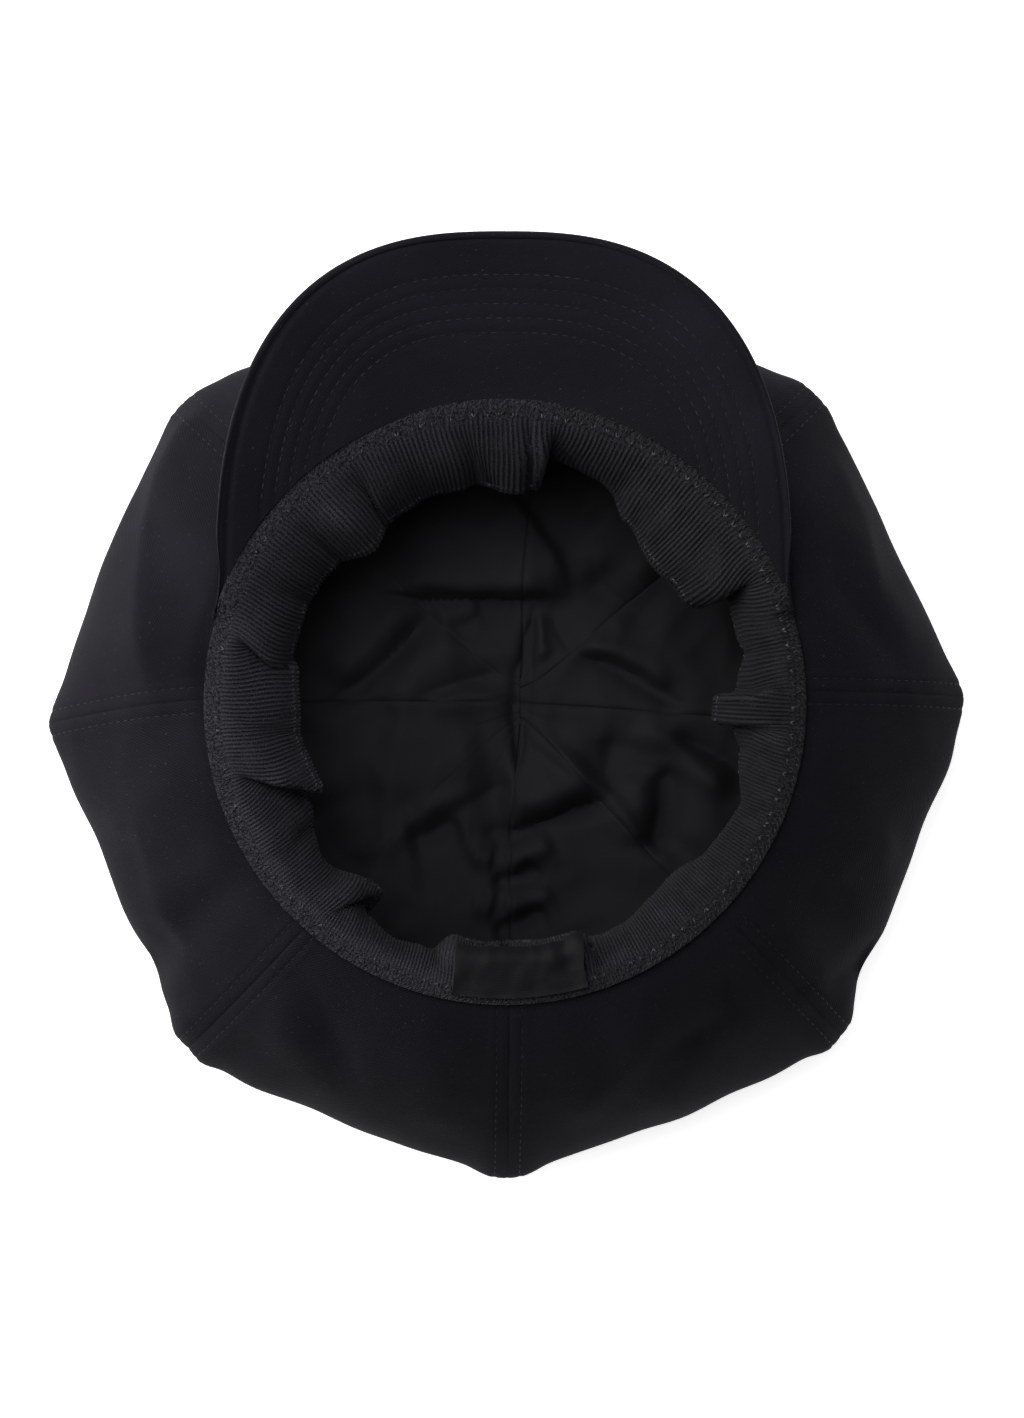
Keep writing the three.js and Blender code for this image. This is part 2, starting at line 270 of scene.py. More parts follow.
def rim_at(angle):
    x = np.cos(np.radians(angle))
    y = np.sin(np.radians(angle))
    along = RIM_SHIFT_X * x + RIM_SHIFT_Y * y
    across = RIM_SHIFT_X * y - RIM_SHIFT_Y * x
    return along + np.sqrt((RIM_RADIUS - BAND_OVERHANG) ** 2 - across ** 2)


def fold_at(angle, share):
    fade = np.sin(math.pi * mix(FOLD_START, 1, share))
    depth = 0
    for fold in folds:
        offset = nearest_turn(angle - mix(fold.edge, fold.rim, share))
        depth = depth + fold.depth * bump(offset, fold.spread)
    return FOLD_DEPTH * depth * fade


def section_at(angle, stage):
    radius, height, fullness = edge_at(angle)
    top = np.clip(stage - 1, 0, 1) * math.pi / 2
    side = np.clip(stage - 2, 0, 1) * math.pi / 2
    top_power = 2 / TOP_FULLNESS
    side_power = 2 / fullness
    flat_reach = mix(TIP_RADIUS, REST_RADIUS, stage)
    top_reach = mix(REST_RADIUS, radius, np.sin(top) ** top_power)
    side_reach = mix(rim_at(angle), radius, np.clip(np.cos(side), 0, 1) ** side_power)
    top_height = height * (1 - np.clip(np.cos(top), 0, 1) ** top_power)
    side_height = mix(height, RIM_HEIGHT, np.sin(side) ** side_power)
    reach = np.where(stage <= 1, flat_reach, np.where(stage <= 2, top_reach, side_reach))
    return reach, np.where(stage <= 1, 0, np.where(stage <= 2, top_height, side_height))


def crown_place(angle, stage, outwards):
    """A place on the crown, some way out of its plain outer face, from the crown's centre."""
    step = 1e-3
    before = section_at(angle, np.maximum(stage - step, 0))
    after = section_at(angle, np.minimum(stage + step, 3))
    run = after[0] - before[0]
    rise = after[1] - before[1]
    length = np.hypot(run, rise)
    fold = np.where(stage > 2, fold_at(angle, stage - 2), fold_at(angle, 0) * ease(stage - 1))
    reach, height = section_at(angle, stage)
    reach = reach - rise / length * (fold - outwards)
    height = height + run / length * (fold - outwards)
    turn = np.radians(angle)
    return np.stack([reach * np.cos(turn), reach * np.sin(turn), height], -1)


def seam_distance(angle, reach):
    """Millimetres to the nearest seam, and which seam that is."""
    turns = np.abs(nearest_turn(np.asarray(angle)[..., None] - seams.angle))
    nearest = np.argmin(turns, -1)
    return reach * np.sin(np.radians(np.min(turns, -1))), nearest


print("opening is", 2 * (RIM_RADIUS - BAND_OVERHANG), "mm across under the sweatband")

# %% [markdown]
# ## Laying a sheet of cloth
# Every cloth piece starts as Blender's own grid. Its corners run from 0 to 1 both ways, and a formula
# says where each point of it goes. The cloth also keeps its flat size in a UV map in millimetres, so a
# weave follows it round every fold as thread does. A Solidify modifier then gives it its thickness.

# %% Helpers that make a sheet
body = "root"
rim_centre = (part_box("sweatband")[0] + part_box("sweatband")[1]) / 2 * 1000
CROWN_CENTRE = np.array([rim_centre.x - RIM_SHIFT_X, rim_centre.y - RIM_SHIFT_Y, 0])
CLOTH_UV = "cloth_mm"
MIDDLE_OF_CAP = np.array([0.0, 0.0, 42.0])
ABOVE_CAP = np.array([0.0, 0.0, 140.0])


def only(piece):
    """Makes one piece the selected and active one."""
    bpy.ops.object.select_all(action="DESELECT")
    piece.select_set(True)
    bpy.context.view_layer.objects.active = piece


def read_points(piece):
    flat = np.empty(3 * len(piece.data.vertices))
    piece.data.vertices.foreach_get("co", flat)
    return flat.reshape(-1, 3)


def cloth_grid(name, across, along, place, cut_flat=False, cut_length=None):
    """A grid of cloth with its points put where place(u, v) says, in millimetres."""
    bpy.ops.object.select_all(action="DESELECT")
    bpy.ops.mesh.primitive_grid_add(x_subdivisions=across, y_subdivisions=along, size=1)
    piece = bpy.context.object
    piece.name = name
    piece.data.name = name
    flat = read_points(piece) + 0.5
    order = np.lexsort((flat[:, 0].round(6), flat[:, 1].round(6)))
    columns = len(np.unique(flat[:, 0].round(6)))
    u, v = flat[order, 0].reshape(-1, columns), flat[order, 1].reshape(-1, columns)
    points = place(u, v)
    lay_points(piece, order, points, cut_flat, cut_length and (u - 0.5) * cut_length)
    return piece, points


def lay_points(piece, order, points, cut_flat, cut_along):
    """Writes the points, and their places on the cloth before it was bent as its UV map."""
    steps_u = np.linalg.norm(np.diff(points, axis=1), axis=2)
    steps_v = np.linalg.norm(np.diff(points, axis=0), axis=2)
    middle = points.shape[1] // 2
    on_u = np.pad(np.cumsum(steps_u, 1), ((0, 0), (1, 0)))
    on_u = on_u - on_u[:, middle:middle + 1] if cut_along is None else cut_along
    on_v = np.concatenate([[0], np.cumsum(steps_v[:, middle])])[:, None] + 0 * on_u
    places = np.empty((len(order), 3))
    places[order] = (points.reshape(-1, 3) + CROWN_CENTRE) / 1000
    piece.data.vertices.foreach_set("co", places.ravel())
    uv = np.empty((len(order), 2))
    uv[order] = (points[..., :2] if cut_flat else np.stack([on_u, on_v], -1)).reshape(-1, 2)
    corners = np.empty(len(piece.data.loops), int)
    piece.data.loops.foreach_get("vertex_index", corners)
    layer = piece.data.uv_layers[0]
    layer.name = CLOTH_UV
    layer.uv.foreach_set("vector", uv[corners].astype(np.float32).ravel())
    piece.data.update()


def face_way(piece, pivot, away):
    """Turns a sheet over if it doesn't face away from a place, or towards it."""
    pivot = (pivot + CROWN_CENTRE) / 1000
    count = len(piece.data.polygons)
    centres, normals = np.empty(3 * count), np.empty(3 * count)
    piece.data.polygons.foreach_get("center", centres)
    piece.data.polygons.foreach_get("normal", normals)
    score = np.sum((centres.reshape(-1, 3) - pivot) * normals.reshape(-1, 3))
    if (score > 0) != away:
        only(piece)
        bpy.ops.object.mode_set(mode="EDIT")
        bpy.ops.mesh.select_all(action="SELECT")
        bpy.ops.mesh.flip_normals()
        bpy.ops.object.mode_set(mode="OBJECT")


def thicken(piece, wall):
    """Gives a sheet its thickness behind the face that shows."""
    only(piece)
    solid = piece.modifiers.new("wall", "SOLIDIFY")
    solid.thickness = wall / 1000
    solid.offset = -1
    bpy.ops.object.modifier_apply(modifier=solid.name)
    bpy.ops.object.shade_smooth_by_angle(angle=math.radians(50))


def merge_ends(piece):
    """Joins the two ends of a sheet that goes all the way round."""
    only(piece)
    bpy.ops.object.mode_set(mode="EDIT")
    bpy.ops.mesh.select_all(action="SELECT")
    bpy.ops.mesh.remove_doubles(threshold=1e-6)
    bpy.ops.object.mode_set(mode="OBJECT")


def join_body(piece, slot, *nodes):
    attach(piece, body)
    if nodes:
        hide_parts(*nodes)


print("crown centre in millimetres:", [round(float(c), 2) for c in CROWN_CENTRE])

# %% [markdown]
# The points of a sheet should lie evenly along the cloth, or a little closer where the eye looks. This
# turns a share of the way from the crown's tip to the opening into a stage of its section.

# %% Even spacing along the section
def stages_along(share, last=3.0, fine_until=0.0, coarse=1.0):
    stages = np.linspace(0, last, 900)
    reach, height = section_at(np.full_like(stages, 22.0), stages)
    lengths = np.hypot(np.diff(reach), np.diff(height))
    lengths = lengths / np.where(stages[1:] < fine_until, 1, coarse)
    on = np.concatenate([[0], np.cumsum(lengths)])
    return np.interp(share * on[-1], on, stages)


def closer_at_edges(share, amount):
    return share - amount * np.sin(2 * math.pi * share) / (2 * math.pi)


# %% [markdown]
# ## Crown panels
# The real crown is eight gores of cotton twill. Each seam is pressed open and stitched down on both
# sides, so a flat ridge of doubled cloth runs along it, with the seam as a narrow groove in the middle
# and small puckers beside it. A subdivided box would never keep such a line crisp, so each gore is a
# fine grid moved by formula: the plain section, plus the ridge, the puckers and soft wrinkles.

# %% Creases in the twill
ROW_OFFSET = 4
ALLOWANCE = 6

# Height, fall to the left, fall to the right, and the route, in millimetres from the crown's centre
TWILL_CRESTS = [
    (5.6, 15, 12, (-88, 100), (-100, 85), (-107, 70), (-112, 52), (-113, 32), (-112, 6), (-110, -8)),
    (1.6, 6, 9, (100, 84), (112, 58), (118, 30)),
    (1.2, 5, 8, (-118, -34), (-112, -60), (-98, -84)),
]
TWILL_STROKES = [
    (1.3, 7, 7, (-76, -90), (-66, -108), (-55, -128)),
    (-1.1, 4, 6, (-66, -84), (-56, -104), (-44, -128)),
    (1.2, 8, 5, (-96, -84), (-108, -92), (-120, -94)),
    (-1.0, 3, 5, (-100, -76), (-116, -82), (-130, -82)),
    (-1.5, 3, 6, (66, -80), (71, -98), (60, -106), (48, -112)),
    (1.4, 6, 9, (52, -92), (40, -112), (18, -136)),
    (-1.3, 4, 3, (100, -92), (112, -88), (122, -74)),
    (1.2, 5, 4, (104, -98), (117, -92), (127, -78)),
    (1.1, 6, 6, (104, 60), (118, 34), (132, 14)),
    (-0.9, 6, 6, (98, 44), (112, 26), (130, 4)),
    (1.0, 7, 7, (92, -40), (108, -46), (128, -44)),
    (-1.0, 6, 6, (90, -56), (106, -62), (124, -58)),
    (1.0, 8, 6, (-12, -102), (-20, -120), (-26, -140)),
    (-0.9, 5, 5, (4, -100), (0, -118), (-2, -140)),
    (1.0, 8, 8, (-98, -22), (-114, -34), (-132, -42)),
    (-0.9, 5, 8, (-92, -44), (-106, -52), (-124, -58)),
]


# How blunt the corner of each seam is, and how far the seam leans over at the opening, in degrees
CORNER_BLUNT = np.array([0.4, 0.7, 0.0, 0.6, 0.3, 1.2, 0.7, 1.1])
SEAM_LEAN = np.array([1.2, 0.0, 0.0, 0.0, -3.0, 1.0, 0.5, 0.5])


# Where the widest line of the real cloth bulges out past the plain one or falls short of it, in degrees
# round the crown, millimetres and degrees
TRIM_COLUMNS = "angle out spread"
TRIMS = [
    (37, 1.8, 5), (50, 1.0, 5), (130.5, 2.4, 5), (149, 0.8, 5), (162, -0.8, 7), (193, 1.0, 7),
    (210, 0.6, 7), (236, 1.8, 5), (249, 0.9, 6), (270, 0.9, 6), (292, 1.2, 6), (304, 2.0, 5),
    (321, -1.6, 5), (333, -0.8, 6), (352, 2.0, 5),
]
trims = named_rows(TRIM_COLUMNS, TRIMS)
print("creases:", len(TWILL_CRESTS) + len(TWILL_STROKES), "bulges:", len(trims))

# %% [markdown]
# All of the relief of a gore is added up in one place, as millimetres out of its plain face: the ridge,
# groove and dips of the seams, puckers that fade away from them, wrinkles at three sizes and the creases
# above. It is calm along the widest line, where the cloth is stretched round the turn.

# %% The surface of the twill
RIDGE_HEIGHT = 0.4
GROOVE_DEPTH = 0.34
GROOVE_WIDTH = 0.45
ROW_DEPTH = 0.35
ROW_WIDTH = 0.8
CREASE_SIZE = 38
CREASE_HEIGHT = 0.9
EDGE_CALM = 0.85

WRINKLE_COLUMNS = "height size seed"
TWILL_WRINKLES = [(1.3, 46, 3.1), (0.55, 21, 7.7), (0.3, 9, 1.3)]


def wrinkled(points, rows):
    """Soft wrinkles of several sizes, one on top of the other."""
    return sum(row.height * soft_noise(points, row.size, row.seed)
               for row in named_rows(WRINKLE_COLUMNS, rows))


def trim_at(angle):
    return sum(trim.out * bump(nearest_turn(angle - trim.angle), trim.spread) for trim in trims)


def twill_relief(angle, stage, plain):
    """How far the twill stands out from its plain face."""
    reach = np.hypot(plain[..., 0], plain[..., 1])
    off_seam, nearest = seam_distance(angle, reach)
    blunt = CORNER_BLUNT[nearest] * bump(stage - 2, 0.4)
    corner = blunt * (1.5 * bump(off_seam - 7, 4.5) - 0.6 * bump(off_seam, 2.5))
    along = np.where(stage < 2, reach, 2 * CROWN_RADIUS - reach)
    ridge = RIDGE_HEIGHT * ease((ALLOWANCE + 1.5 - off_seam) / 3.5)
    groove = -GROOVE_DEPTH * bump(off_seam, GROOVE_WIDTH)
    row = -ROW_DEPTH * bump(off_seam - ROW_OFFSET, ROW_WIDTH)
    pucker = line_noise(along + 37 * nearest, 6, 4.5) * bump(off_seam, 12)
    long_pucker = line_noise(along + 91 * nearest, 15, 8.5) * bump(off_seam, 22)
    crumple = 0.5 - np.abs(soft_noise(plain * np.array([1.0, 1.0, 0.6]), CREASE_SIZE, 11.9)) * 2
    wrinkles = wrinkled(plain, TWILL_WRINKLES) + CREASE_HEIGHT * crumple * ease(stage - 1.3)
    loose = np.sin(math.pi * np.clip(stage / 3, 0, 1)) ** 0.5
    sides = ease(4 * (stage - 1.9)) * ease(8 * (3 - stage))
    creases = strokes_at(plain[..., 0], plain[..., 1], TWILL_STROKES)
    creases = sides * (creases + strokes_at(plain[..., 0], plain[..., 1], TWILL_CRESTS, crisp=True))
    puckers = 0.45 * pucker + 0.5 * long_pucker
    calm = 1 - EDGE_CALM * bump(stage - 2, 0.3)
    trim = trim_at(angle) * bump(stage - 2, 0.55)
    return ridge + groove + row + puckers * calm + corner + trim + wrinkles * loose * calm + creases


def crown_surface(angle, stage):
    row, following, _, share = between(seams.angle, angle)
    lean = mix(SEAM_LEAN[row], SEAM_LEAN[following], ease(share)) * ease(stage - 2)
    plain = crown_place(angle + lean, stage, 0)
    relief = twill_relief(angle, stage, plain)
    resting = ease((1.25 - stage) / 0.25)
    at_rim = ease((stage - 2.85) / 0.15)
    relief = mix(relief, 0.2 * relief - 0.25, np.maximum(resting, at_rim))
    place = crown_place(angle + lean, stage, relief)
    place[..., 2] = np.maximum(place[..., 2], 0)
    return place


# %% Make the eight panels
PANEL_ACROSS = 60
PANEL_ALONG = 104
PANEL_CROWDING = 0.62


def gore_angles(seam, u, crowding):
    """Angles from one seam to the next, closer together beside the seams."""
    first = seams.angle[seam]
    span = (seams.angle[(seam + 1) % len(SEAMS)] - first) % 360
    return first + closer_at_edges(u, crowding) * span


def crown_panel(seam):
    def place(u, v):
        return crown_surface(gore_angles(seam, u, PANEL_CROWDING), stages_along(v))

    name = "twill_" + PANELS[seam]
    piece, points = cloth_grid(name, PANEL_ACROSS, PANEL_ALONG, place)
    face_way(piece, MIDDLE_OF_CAP, away=True)
    thicken(piece, TWILL_WALL)
    return piece


crown_panels = [crown_panel(seam) for seam in range(len(SEAMS))]
for piece, panel in zip(crown_panels, PANELS):
    join_body(piece, "twill", "crown_panel_" + panel)

# %% [markdown]
# ## Lining
# The lining is cut a little larger than the crown and hangs loose inside it, so it lies in mounds and
# valleys on the crown's flat top, and its eight seams wander. Inside the opening the eye sees little
# else. The strokes below were read off the cap one by one: a lip at the front, a slit where the front
# and back seams meet, puckers across the back seam and a deep dimple at the right.

# %% Folds of the lining
# Height, fall to the left, fall to the right, and the route, in millimetres from the crown's centre
LINING_STROKES = [
    (5.5, 16, 1.4, (-44, 37), (-28, 35), (0, 35), (22, 35)),
    (4.0, 15, 2.5, (20, 33), (15, 46), (6, 59), (-4, 70)),
    (-3.5, 1.2, 4, (-40, 36), (-10, 34), (20, 34)),
    (-4.5, 3.5, 5.5, (-64, -6), (-48, 5), (-35, 17), (-22, 32)),
    (3.2, 7, 5, (-60, 4), (-42, 20), (-28, 33)),
    (2.6, 9, 9, (-42, -2), (-26, 12), (-12, 22)),
    (-3.0, 4, 5, (-22, 20), (-10, 27), (4, 33)),
    (2.0, 5, 5, (-24, 26), (-8, 32)),
    (-7.0, 1.0, 1.4, (9, 32), (8, 22), (6, 10), (4, -3), (4, -14), (4, -26)),
    (-4.0, 1.4, 2.2, (7, 14), (4, -10)),
    (2.2, 2.5, 4, (10, 30), (11, 18), (13, 12)),
    (-2.0, 3, 3, (14, 34), (16, 24), (22, 14)),
    (3.4, 5, 3, (20, 18), (34, 16), (46, 10), (54, 2)),
    (-5.0, 2.2, 3.5, (20, 16), (36, 11), (46, 5), (60, -4)),
    (2.8, 4, 5, (40, -8), (54, -14), (66, -24), (74, -34)),
    (-4.0, 3, 3, (52, -10), (66, -17), (78, -24), (84, -30)),
    (2.4, 3, 3, (6, -9), (20, -20), (33, -31), (46, -49)),
    (-3.2, 8, 7, (36, -8), (32, -24), (36, -38)),
    (3.2, 8, 7, (42, -22), (44, -36), (43, -50)),
    (-7.0, 5, 4, (53, -20), (51, -36), (48, -52)),
    (2.8, 8, 8, (62, -18), (64, -36), (60, -52)),
    (-5.5, 2, 4, (-10, -43), (2, -44), (14, -39), (34, -32)),
    (4.2, 9, 7, (-4, -34), (14, -30), (30, -24)),
    (-5.0, 2, 3.5, (-6, -60), (4, -58), (12, -54)),
    (3.0, 5, 4, (-2, -52), (8, -50), (16, -46)),
    (-5.0, 2, 3.5, (-6, -76), (4, -74), (14, -68)),
    (3.0, 5, 4, (-2, -68), (8, -65), (16, -62)),
    (2.0, 4, 4, (-12, -50), (-4, -52)),
    (2.0, 4, 4, (-12, -66), (-4, -68)),
    (-4.5, 8, 9, (-34, -46), (-24, -44), (-14, -40)),
    (2.4, 4, 5, (-50, -54), (-26, -36), (-6, -28)),
    (-2.6, 6, 6, (-20, -38), (-6, -30), (4, -26)),
    (3.5, 22, 20, (-44, -14), (-24, -18), (-6, -14)),
    (-2.2, 2.5, 4, (-30, 1), (-14, 6), (0, 10)),
    (1.6, 3, 4, (-28, -2), (-12, 1), (0, 1)),
    (-3.5, 12, 12, (-66, -30), (-58, -48), (-44, -60)),
    (3.0, 14, 12, (24, 60), (38, 52), (50, 38)),
    (-3.5, 9, 9, (26, 44), (34, 34), (50, 24)),
]

# How far each seam of the lining lies from the crown's seam, in degrees, near the middle
LINING_TWIST = np.array([-5, -6, -7, -4.5, -2.5, 3, 1, -2])
LINING_CRISPNESS = np.array([1, 0.8, 1, 0.45, 1, 0.2, 1, 0.9])
LINING_TIP_X = 4.2
LINING_TIP_Y = -0.6
PINCH_LENGTH = 7.0
PINCH_FADE = 12.0
print("folds in the lining:", len(LINING_STROKES))

# %% [markdown]
# The lining can't pass through the crown, so its folds are worked out as slack: how far it stands in from
# the cloth that it lies on, and never less than a thin gap. Its seams are crisp where the cloth is taut
# and vanish where it is slack.

# %% How the lining hangs
LINING_LAST = 2 + 82 / 90
STROKE_STRENGTH = 1.25
LEAST_SLACK = 0.9
LINING_RIPPLES = [(1.7, 27, 5.5), (0.8, 11, 2.2)]
LOFT_FLAT = 4.2
LOFT_SIDE = 2.4


def lining_slack(plain, angle, stage):
    """How far the lining stands in from where it would touch the crown."""
    inside = ease((2.1 - stage) / 0.6)
    loft = LOFT_FLAT * ease((1.7 - stage) / 0.7)
    loft = loft + LOFT_SIDE * ease(stage - 0.8) * ease((LINING_LAST - stage) / 0.25)
    folded = STROKE_STRENGTH * strokes_at(plain[..., 0], plain[..., 1], LINING_STROKES) * inside
    ripples = wrinkled(plain, LINING_RIPPLES)
    reach = np.hypot(plain[..., 0], plain[..., 1])
    off_seam, nearest = seam_distance(angle, reach)
    crisp = LINING_CRISPNESS[nearest]
    seam = crisp * (-0.5 * bump(off_seam, 0.5) + 0.3 * bump(off_seam - 2.5, 2.5))
    pucker = 0.45 * line_noise(reach + 53 * nearest, 7, 6.5) * bump(off_seam, 8)
    side = 1.2 * soft_noise(plain, 18, 9.1) * ease(stage - 1.2)
    crumple = 1.3 * np.abs(soft_noise(plain, 31, 7.3)) + 0.8 * np.abs(soft_noise(plain, 14, 4.9))
    near_rim = ease((LINING_LAST - stage) / 0.2)
    slack = np.maximum((loft + folded + ripples + side + 1.6 - 2 * crumple) * near_rim, LEAST_SLACK)
    return slack + (seam + pucker) * near_rim


def lining_surface(angle, stage):
    away = TWILL_WALL + LAYER_GAP + LINING_WALL
    row, following, _, share = between(seams.angle, angle)
    twist = mix(LINING_TWIST[row], LINING_TWIST[following], ease(share))
    calm = ease((1.9 - stage) / 1.1)
    turned = angle + twist * calm
    plain = crown_place(turned, stage, -away)
    middle = ease((0.7 - stage) / 0.7)
    reach = np.hypot(plain[..., 0], plain[..., 1])
    pinch = PINCH_LENGTH * np.exp(-reach / PINCH_FADE) * np.sin(np.radians(turned))
    moved = np.stack([LINING_TIP_X * middle, LINING_TIP_Y * middle + pinch, 0 * middle], -1)
    slack = lining_slack(plain + moved, angle, stage)
    return crown_place(turned, stage, -away - slack) + moved


# %% Make the eight gores of the lining
GORE_ACROSS = 48
GORE_ALONG = 112
GORE_CROWDING = 0.5
LINING_CLOTH = LINING_WALL * 0.6


def lining_gore(seam):
    def place(u, v):
        stage = stages_along(v, last=LINING_LAST, fine_until=1.3, coarse=2.6)
        return lining_surface(gore_angles(seam, u, GORE_CROWDING), stage)

    name = "lining_" + PANELS[seam]
    piece, points = cloth_grid(name, GORE_ACROSS, GORE_ALONG, place)
    face_way(piece, MIDDLE_OF_CAP, away=False)
    thicken(piece, LINING_CLOTH)
    return piece


lining_gores = [lining_gore(seam) for seam in range(len(SEAMS))]
for piece, panel in zip(lining_gores, PANELS):
    join_body(piece, "lining_cloth", "lining_panel_" + panel)

# %% [markdown]
# ## Sweatband
# The sweatband is ribbed elastic tape. Its outer margin is stitched down flat, its free edge has a
# border of tight loops, and between them the ribs run across. It is longer than the free edge needs, so
# it stands in waves and folds over itself in a few places. A tuck does that: it pushes the tape forward
# on one side of a line and back on the other, and lifts the first over the second.

# %% Tucks and dents of the sweatband
# Degrees round the opening at the margin and at the free edge, spread, and how far it slides and lifts
TUCK_COLUMNS = "angle free spread slide lift"
TUCKS = [
    (165.5, 170.5, 3.2, 10.0, 5.0),
    (194.0, 203.5, 3.4, 10.5, 5.6),
    (80.0, 82.0, 2.6, 6.0, -4.0),
    (26.5, 28.5, 3.0, 9.0, -4.8),
    (229.0, 236.5, 2.6, 5.0, 2.6),
    (355.0, 354.5, 2.0, 3.5, -2.4),
    (2.5, 2.0, 2.0, 3.5, 2.6),
    (98.0, 95.0, 2.8, 2.5, -1.8),
    (120.0, 125.0, 3.6, 2.5, 1.6),
    (182.0, 187.0, 3.4, 1.5, 1.4),
]
TUCK_FADE = 9

# Degrees round the opening, spread and depth. A bulge has a depth below nothing.
DENT_COLUMNS = "angle spread depth"
DENTS = [
    (289.4, 1.3, 4.0), (85.2, 1.2, 3.4), (99.0, 2.4, 2.6), (152.0, 2.6, 1.6), (61.0, 2.4, 1.5),
    (12.0, 2.0, 1.6), (337.0, 2.2, 1.6), (322.0, 2.4, 1.3), (214.0, 2.0, 1.5), (255.0, 2.2, 2.4),
    (131.5, 4.2, -3.4), (139.0, 1.7, 1.6), (124.0, 1.6, 1.4), (112.0, 4.0, 1.4), (50.0, 5.0, -1.6),
    (229.0, 3.4, -2.0), (305.0, 4.5, -1.4),
]
tucks = named_rows(TUCK_COLUMNS, TUCKS)
dents = named_rows(DENT_COLUMNS, DENTS)
print("tucks:", len(tucks), "dents:", len(dents))

# %% [markdown]
# Under the label the tape is held flat before it turns down, and everywhere else it turns over in one
# soft curve. How much it turns is found from how far in its free edge lies in the table of waves.

# %% How the sweatband turns over
SHELF_BEND_START = 12.5
SHELF_BEND_END = 17.5
SHELF_STEEPNESS = 84
SHELF_HALF_ANGLE = 14
SHELF_ALONG = np.linspace(0, BAND_WIDTH, 120)


def shelf_section():
    """How far in and down the tape reaches along the section that the label holds flat."""
    bend = (SHELF_ALONG - SHELF_BEND_START) / (SHELF_BEND_END - SHELF_BEND_START)
    slope = np.radians(SHELF_STEEPNESS) * ease(bend)
    step = SHELF_ALONG[1]
    return np.cumsum(np.cos(slope)) * step - step, np.cumsum(np.sin(slope)) * step


def lean_at(angle):
    row, following, _, share = between(waves.angle, angle)
    return mix(waves.lean[row], waves.lean[following], ease(share))


def hang(down, steep):
    """How far in and down a strip reaches, per unit of length, when it turns over by an angle in all."""
    root = np.sqrt(down)
    turned = steep * root
    inward = 2 * (root * np.sin(turned) / steep + (np.cos(turned) - 1) / steep ** 2)
    fall = 2 * (np.sin(turned) / steep ** 2 - root * np.cos(turned) / steep)
    return inward, fall


SHELF_REACH, SHELF_FALL = shelf_section()
STEEPNESS = np.radians(np.linspace(160, 20, 80))
LEANS = hang(1.0, STEEPNESS)[0]


def shelf_at(angle):
    """1 where the label keeps the sweatband flat before it turns down, 0 elsewhere."""
    off_label = np.abs(nearest_turn(angle - LABEL_ANGLE))
    return ease((SHELF_HALF_ANGLE + 5 - off_label) / 7)


# %% The underside of the sweatband
PEAK_HALF_ANGLE = 74
MARGIN_CLIMB = 2.6
MARGIN_OVERLAP = 0.9
WAVINESS = 0.9


def band_underside(angle, share):
    """A place under the tape, at an angle round the opening and a share of its width."""
    hanging = BAND_WIDTH - MARGIN_WIDTH
    lean = (lean_at(angle) * BAND_WIDTH - MARGIN_WIDTH) / hanging
    along = share * BAND_WIDTH
    down = np.maximum(along - MARGIN_WIDTH, 0) / hanging
    steep = np.interp(lean, LEANS, STEEPNESS)
    inward, fall = hang(down, steep)
    reach = np.minimum(along, MARGIN_WIDTH) + hanging * inward
    fall = hanging * fall
    held = shelf_at(angle)
    reach = mix(reach, np.interp(along, SHELF_ALONG, SHELF_REACH), held)
    fall = mix(fall, np.interp(along, SHELF_ALONG, SHELF_FALL), held)
    slide = 0
    lift = 0
    for tuck in tucks:
        offset = nearest_turn(angle - mix(tuck.angle, tuck.free, down))
        shape = -np.tanh(1.3 * offset / tuck.spread) * np.exp(-np.abs(offset) / TUCK_FADE)
        slide = slide + tuck.slide * shape
        lift = lift + tuck.lift * shape
    for dent in dents:
        lift = lift - dent.depth * bump(nearest_turn(angle - dent.angle), dent.spread)
    swell = ease(0.12 + down * 1.5)
    over_peak = ease((PEAK_HALF_ANGLE - np.abs(nearest_turn(angle - 90))) / 5)
    climb = over_peak * ease((MARGIN_WIDTH + 5 - along) / 10)
    waviness = line_noise(angle * RIM_RADIUS * math.pi / 180, 13, 2.5) * down
    turn = np.radians(angle) + slide * swell / RIM_RADIUS
    radius = RIM_RADIUS - reach - (0.6 * lift * swell + WAVINESS * waviness) + MARGIN_OVERLAP * climb
    height = RIM_HEIGHT + LAYER_GAP - fall + lift * swell + MARGIN_CLIMB * climb
    return np.stack([RIM_SHIFT_X + radius * np.cos(turn), RIM_SHIFT_Y + radius * np.sin(turn), height], -1)


def square_to(surface, u, v, up):
    """The way straight out of a surface at each place, on the side of `up`."""
    step = 1e-3
    along_u = surface(u + step, v) - surface(u - step, v)
    along_v = surface(u, np.minimum(v + step, 1)) - surface(u, np.maximum(v - step, 0))
    way = np.cross(along_u, along_v)
    way = way / np.linalg.norm(way, axis=-1, keepdims=True)
    return way * (1 if np.sum(way * up) > 0 else -1)


UPWARDS = np.array([0.0, 0.0, 1.0])
print("the label holds the tape flat for", SHELF_BEND_START, "mm from its outer edge")

# %% [markdown]
# The ribs are rubber cords that run across the tape. Where they are stretched less they lie closer, here
# at the back. Each column of the mesh falls on the same part of a rib, so that a few points draw it.

# %% Ribs, loops and margin
RIB_PITCH = 1.35
RIB_CROWDING = 0.17
RIB_HEIGHT = 0.25
LOOP_HEIGHT = 0.24
LOOP_STEP = 1.5
BAND_LENGTH = 2 * math.pi * RIM_RADIUS
RIBS = round(BAND_LENGTH / RIB_PITCH)


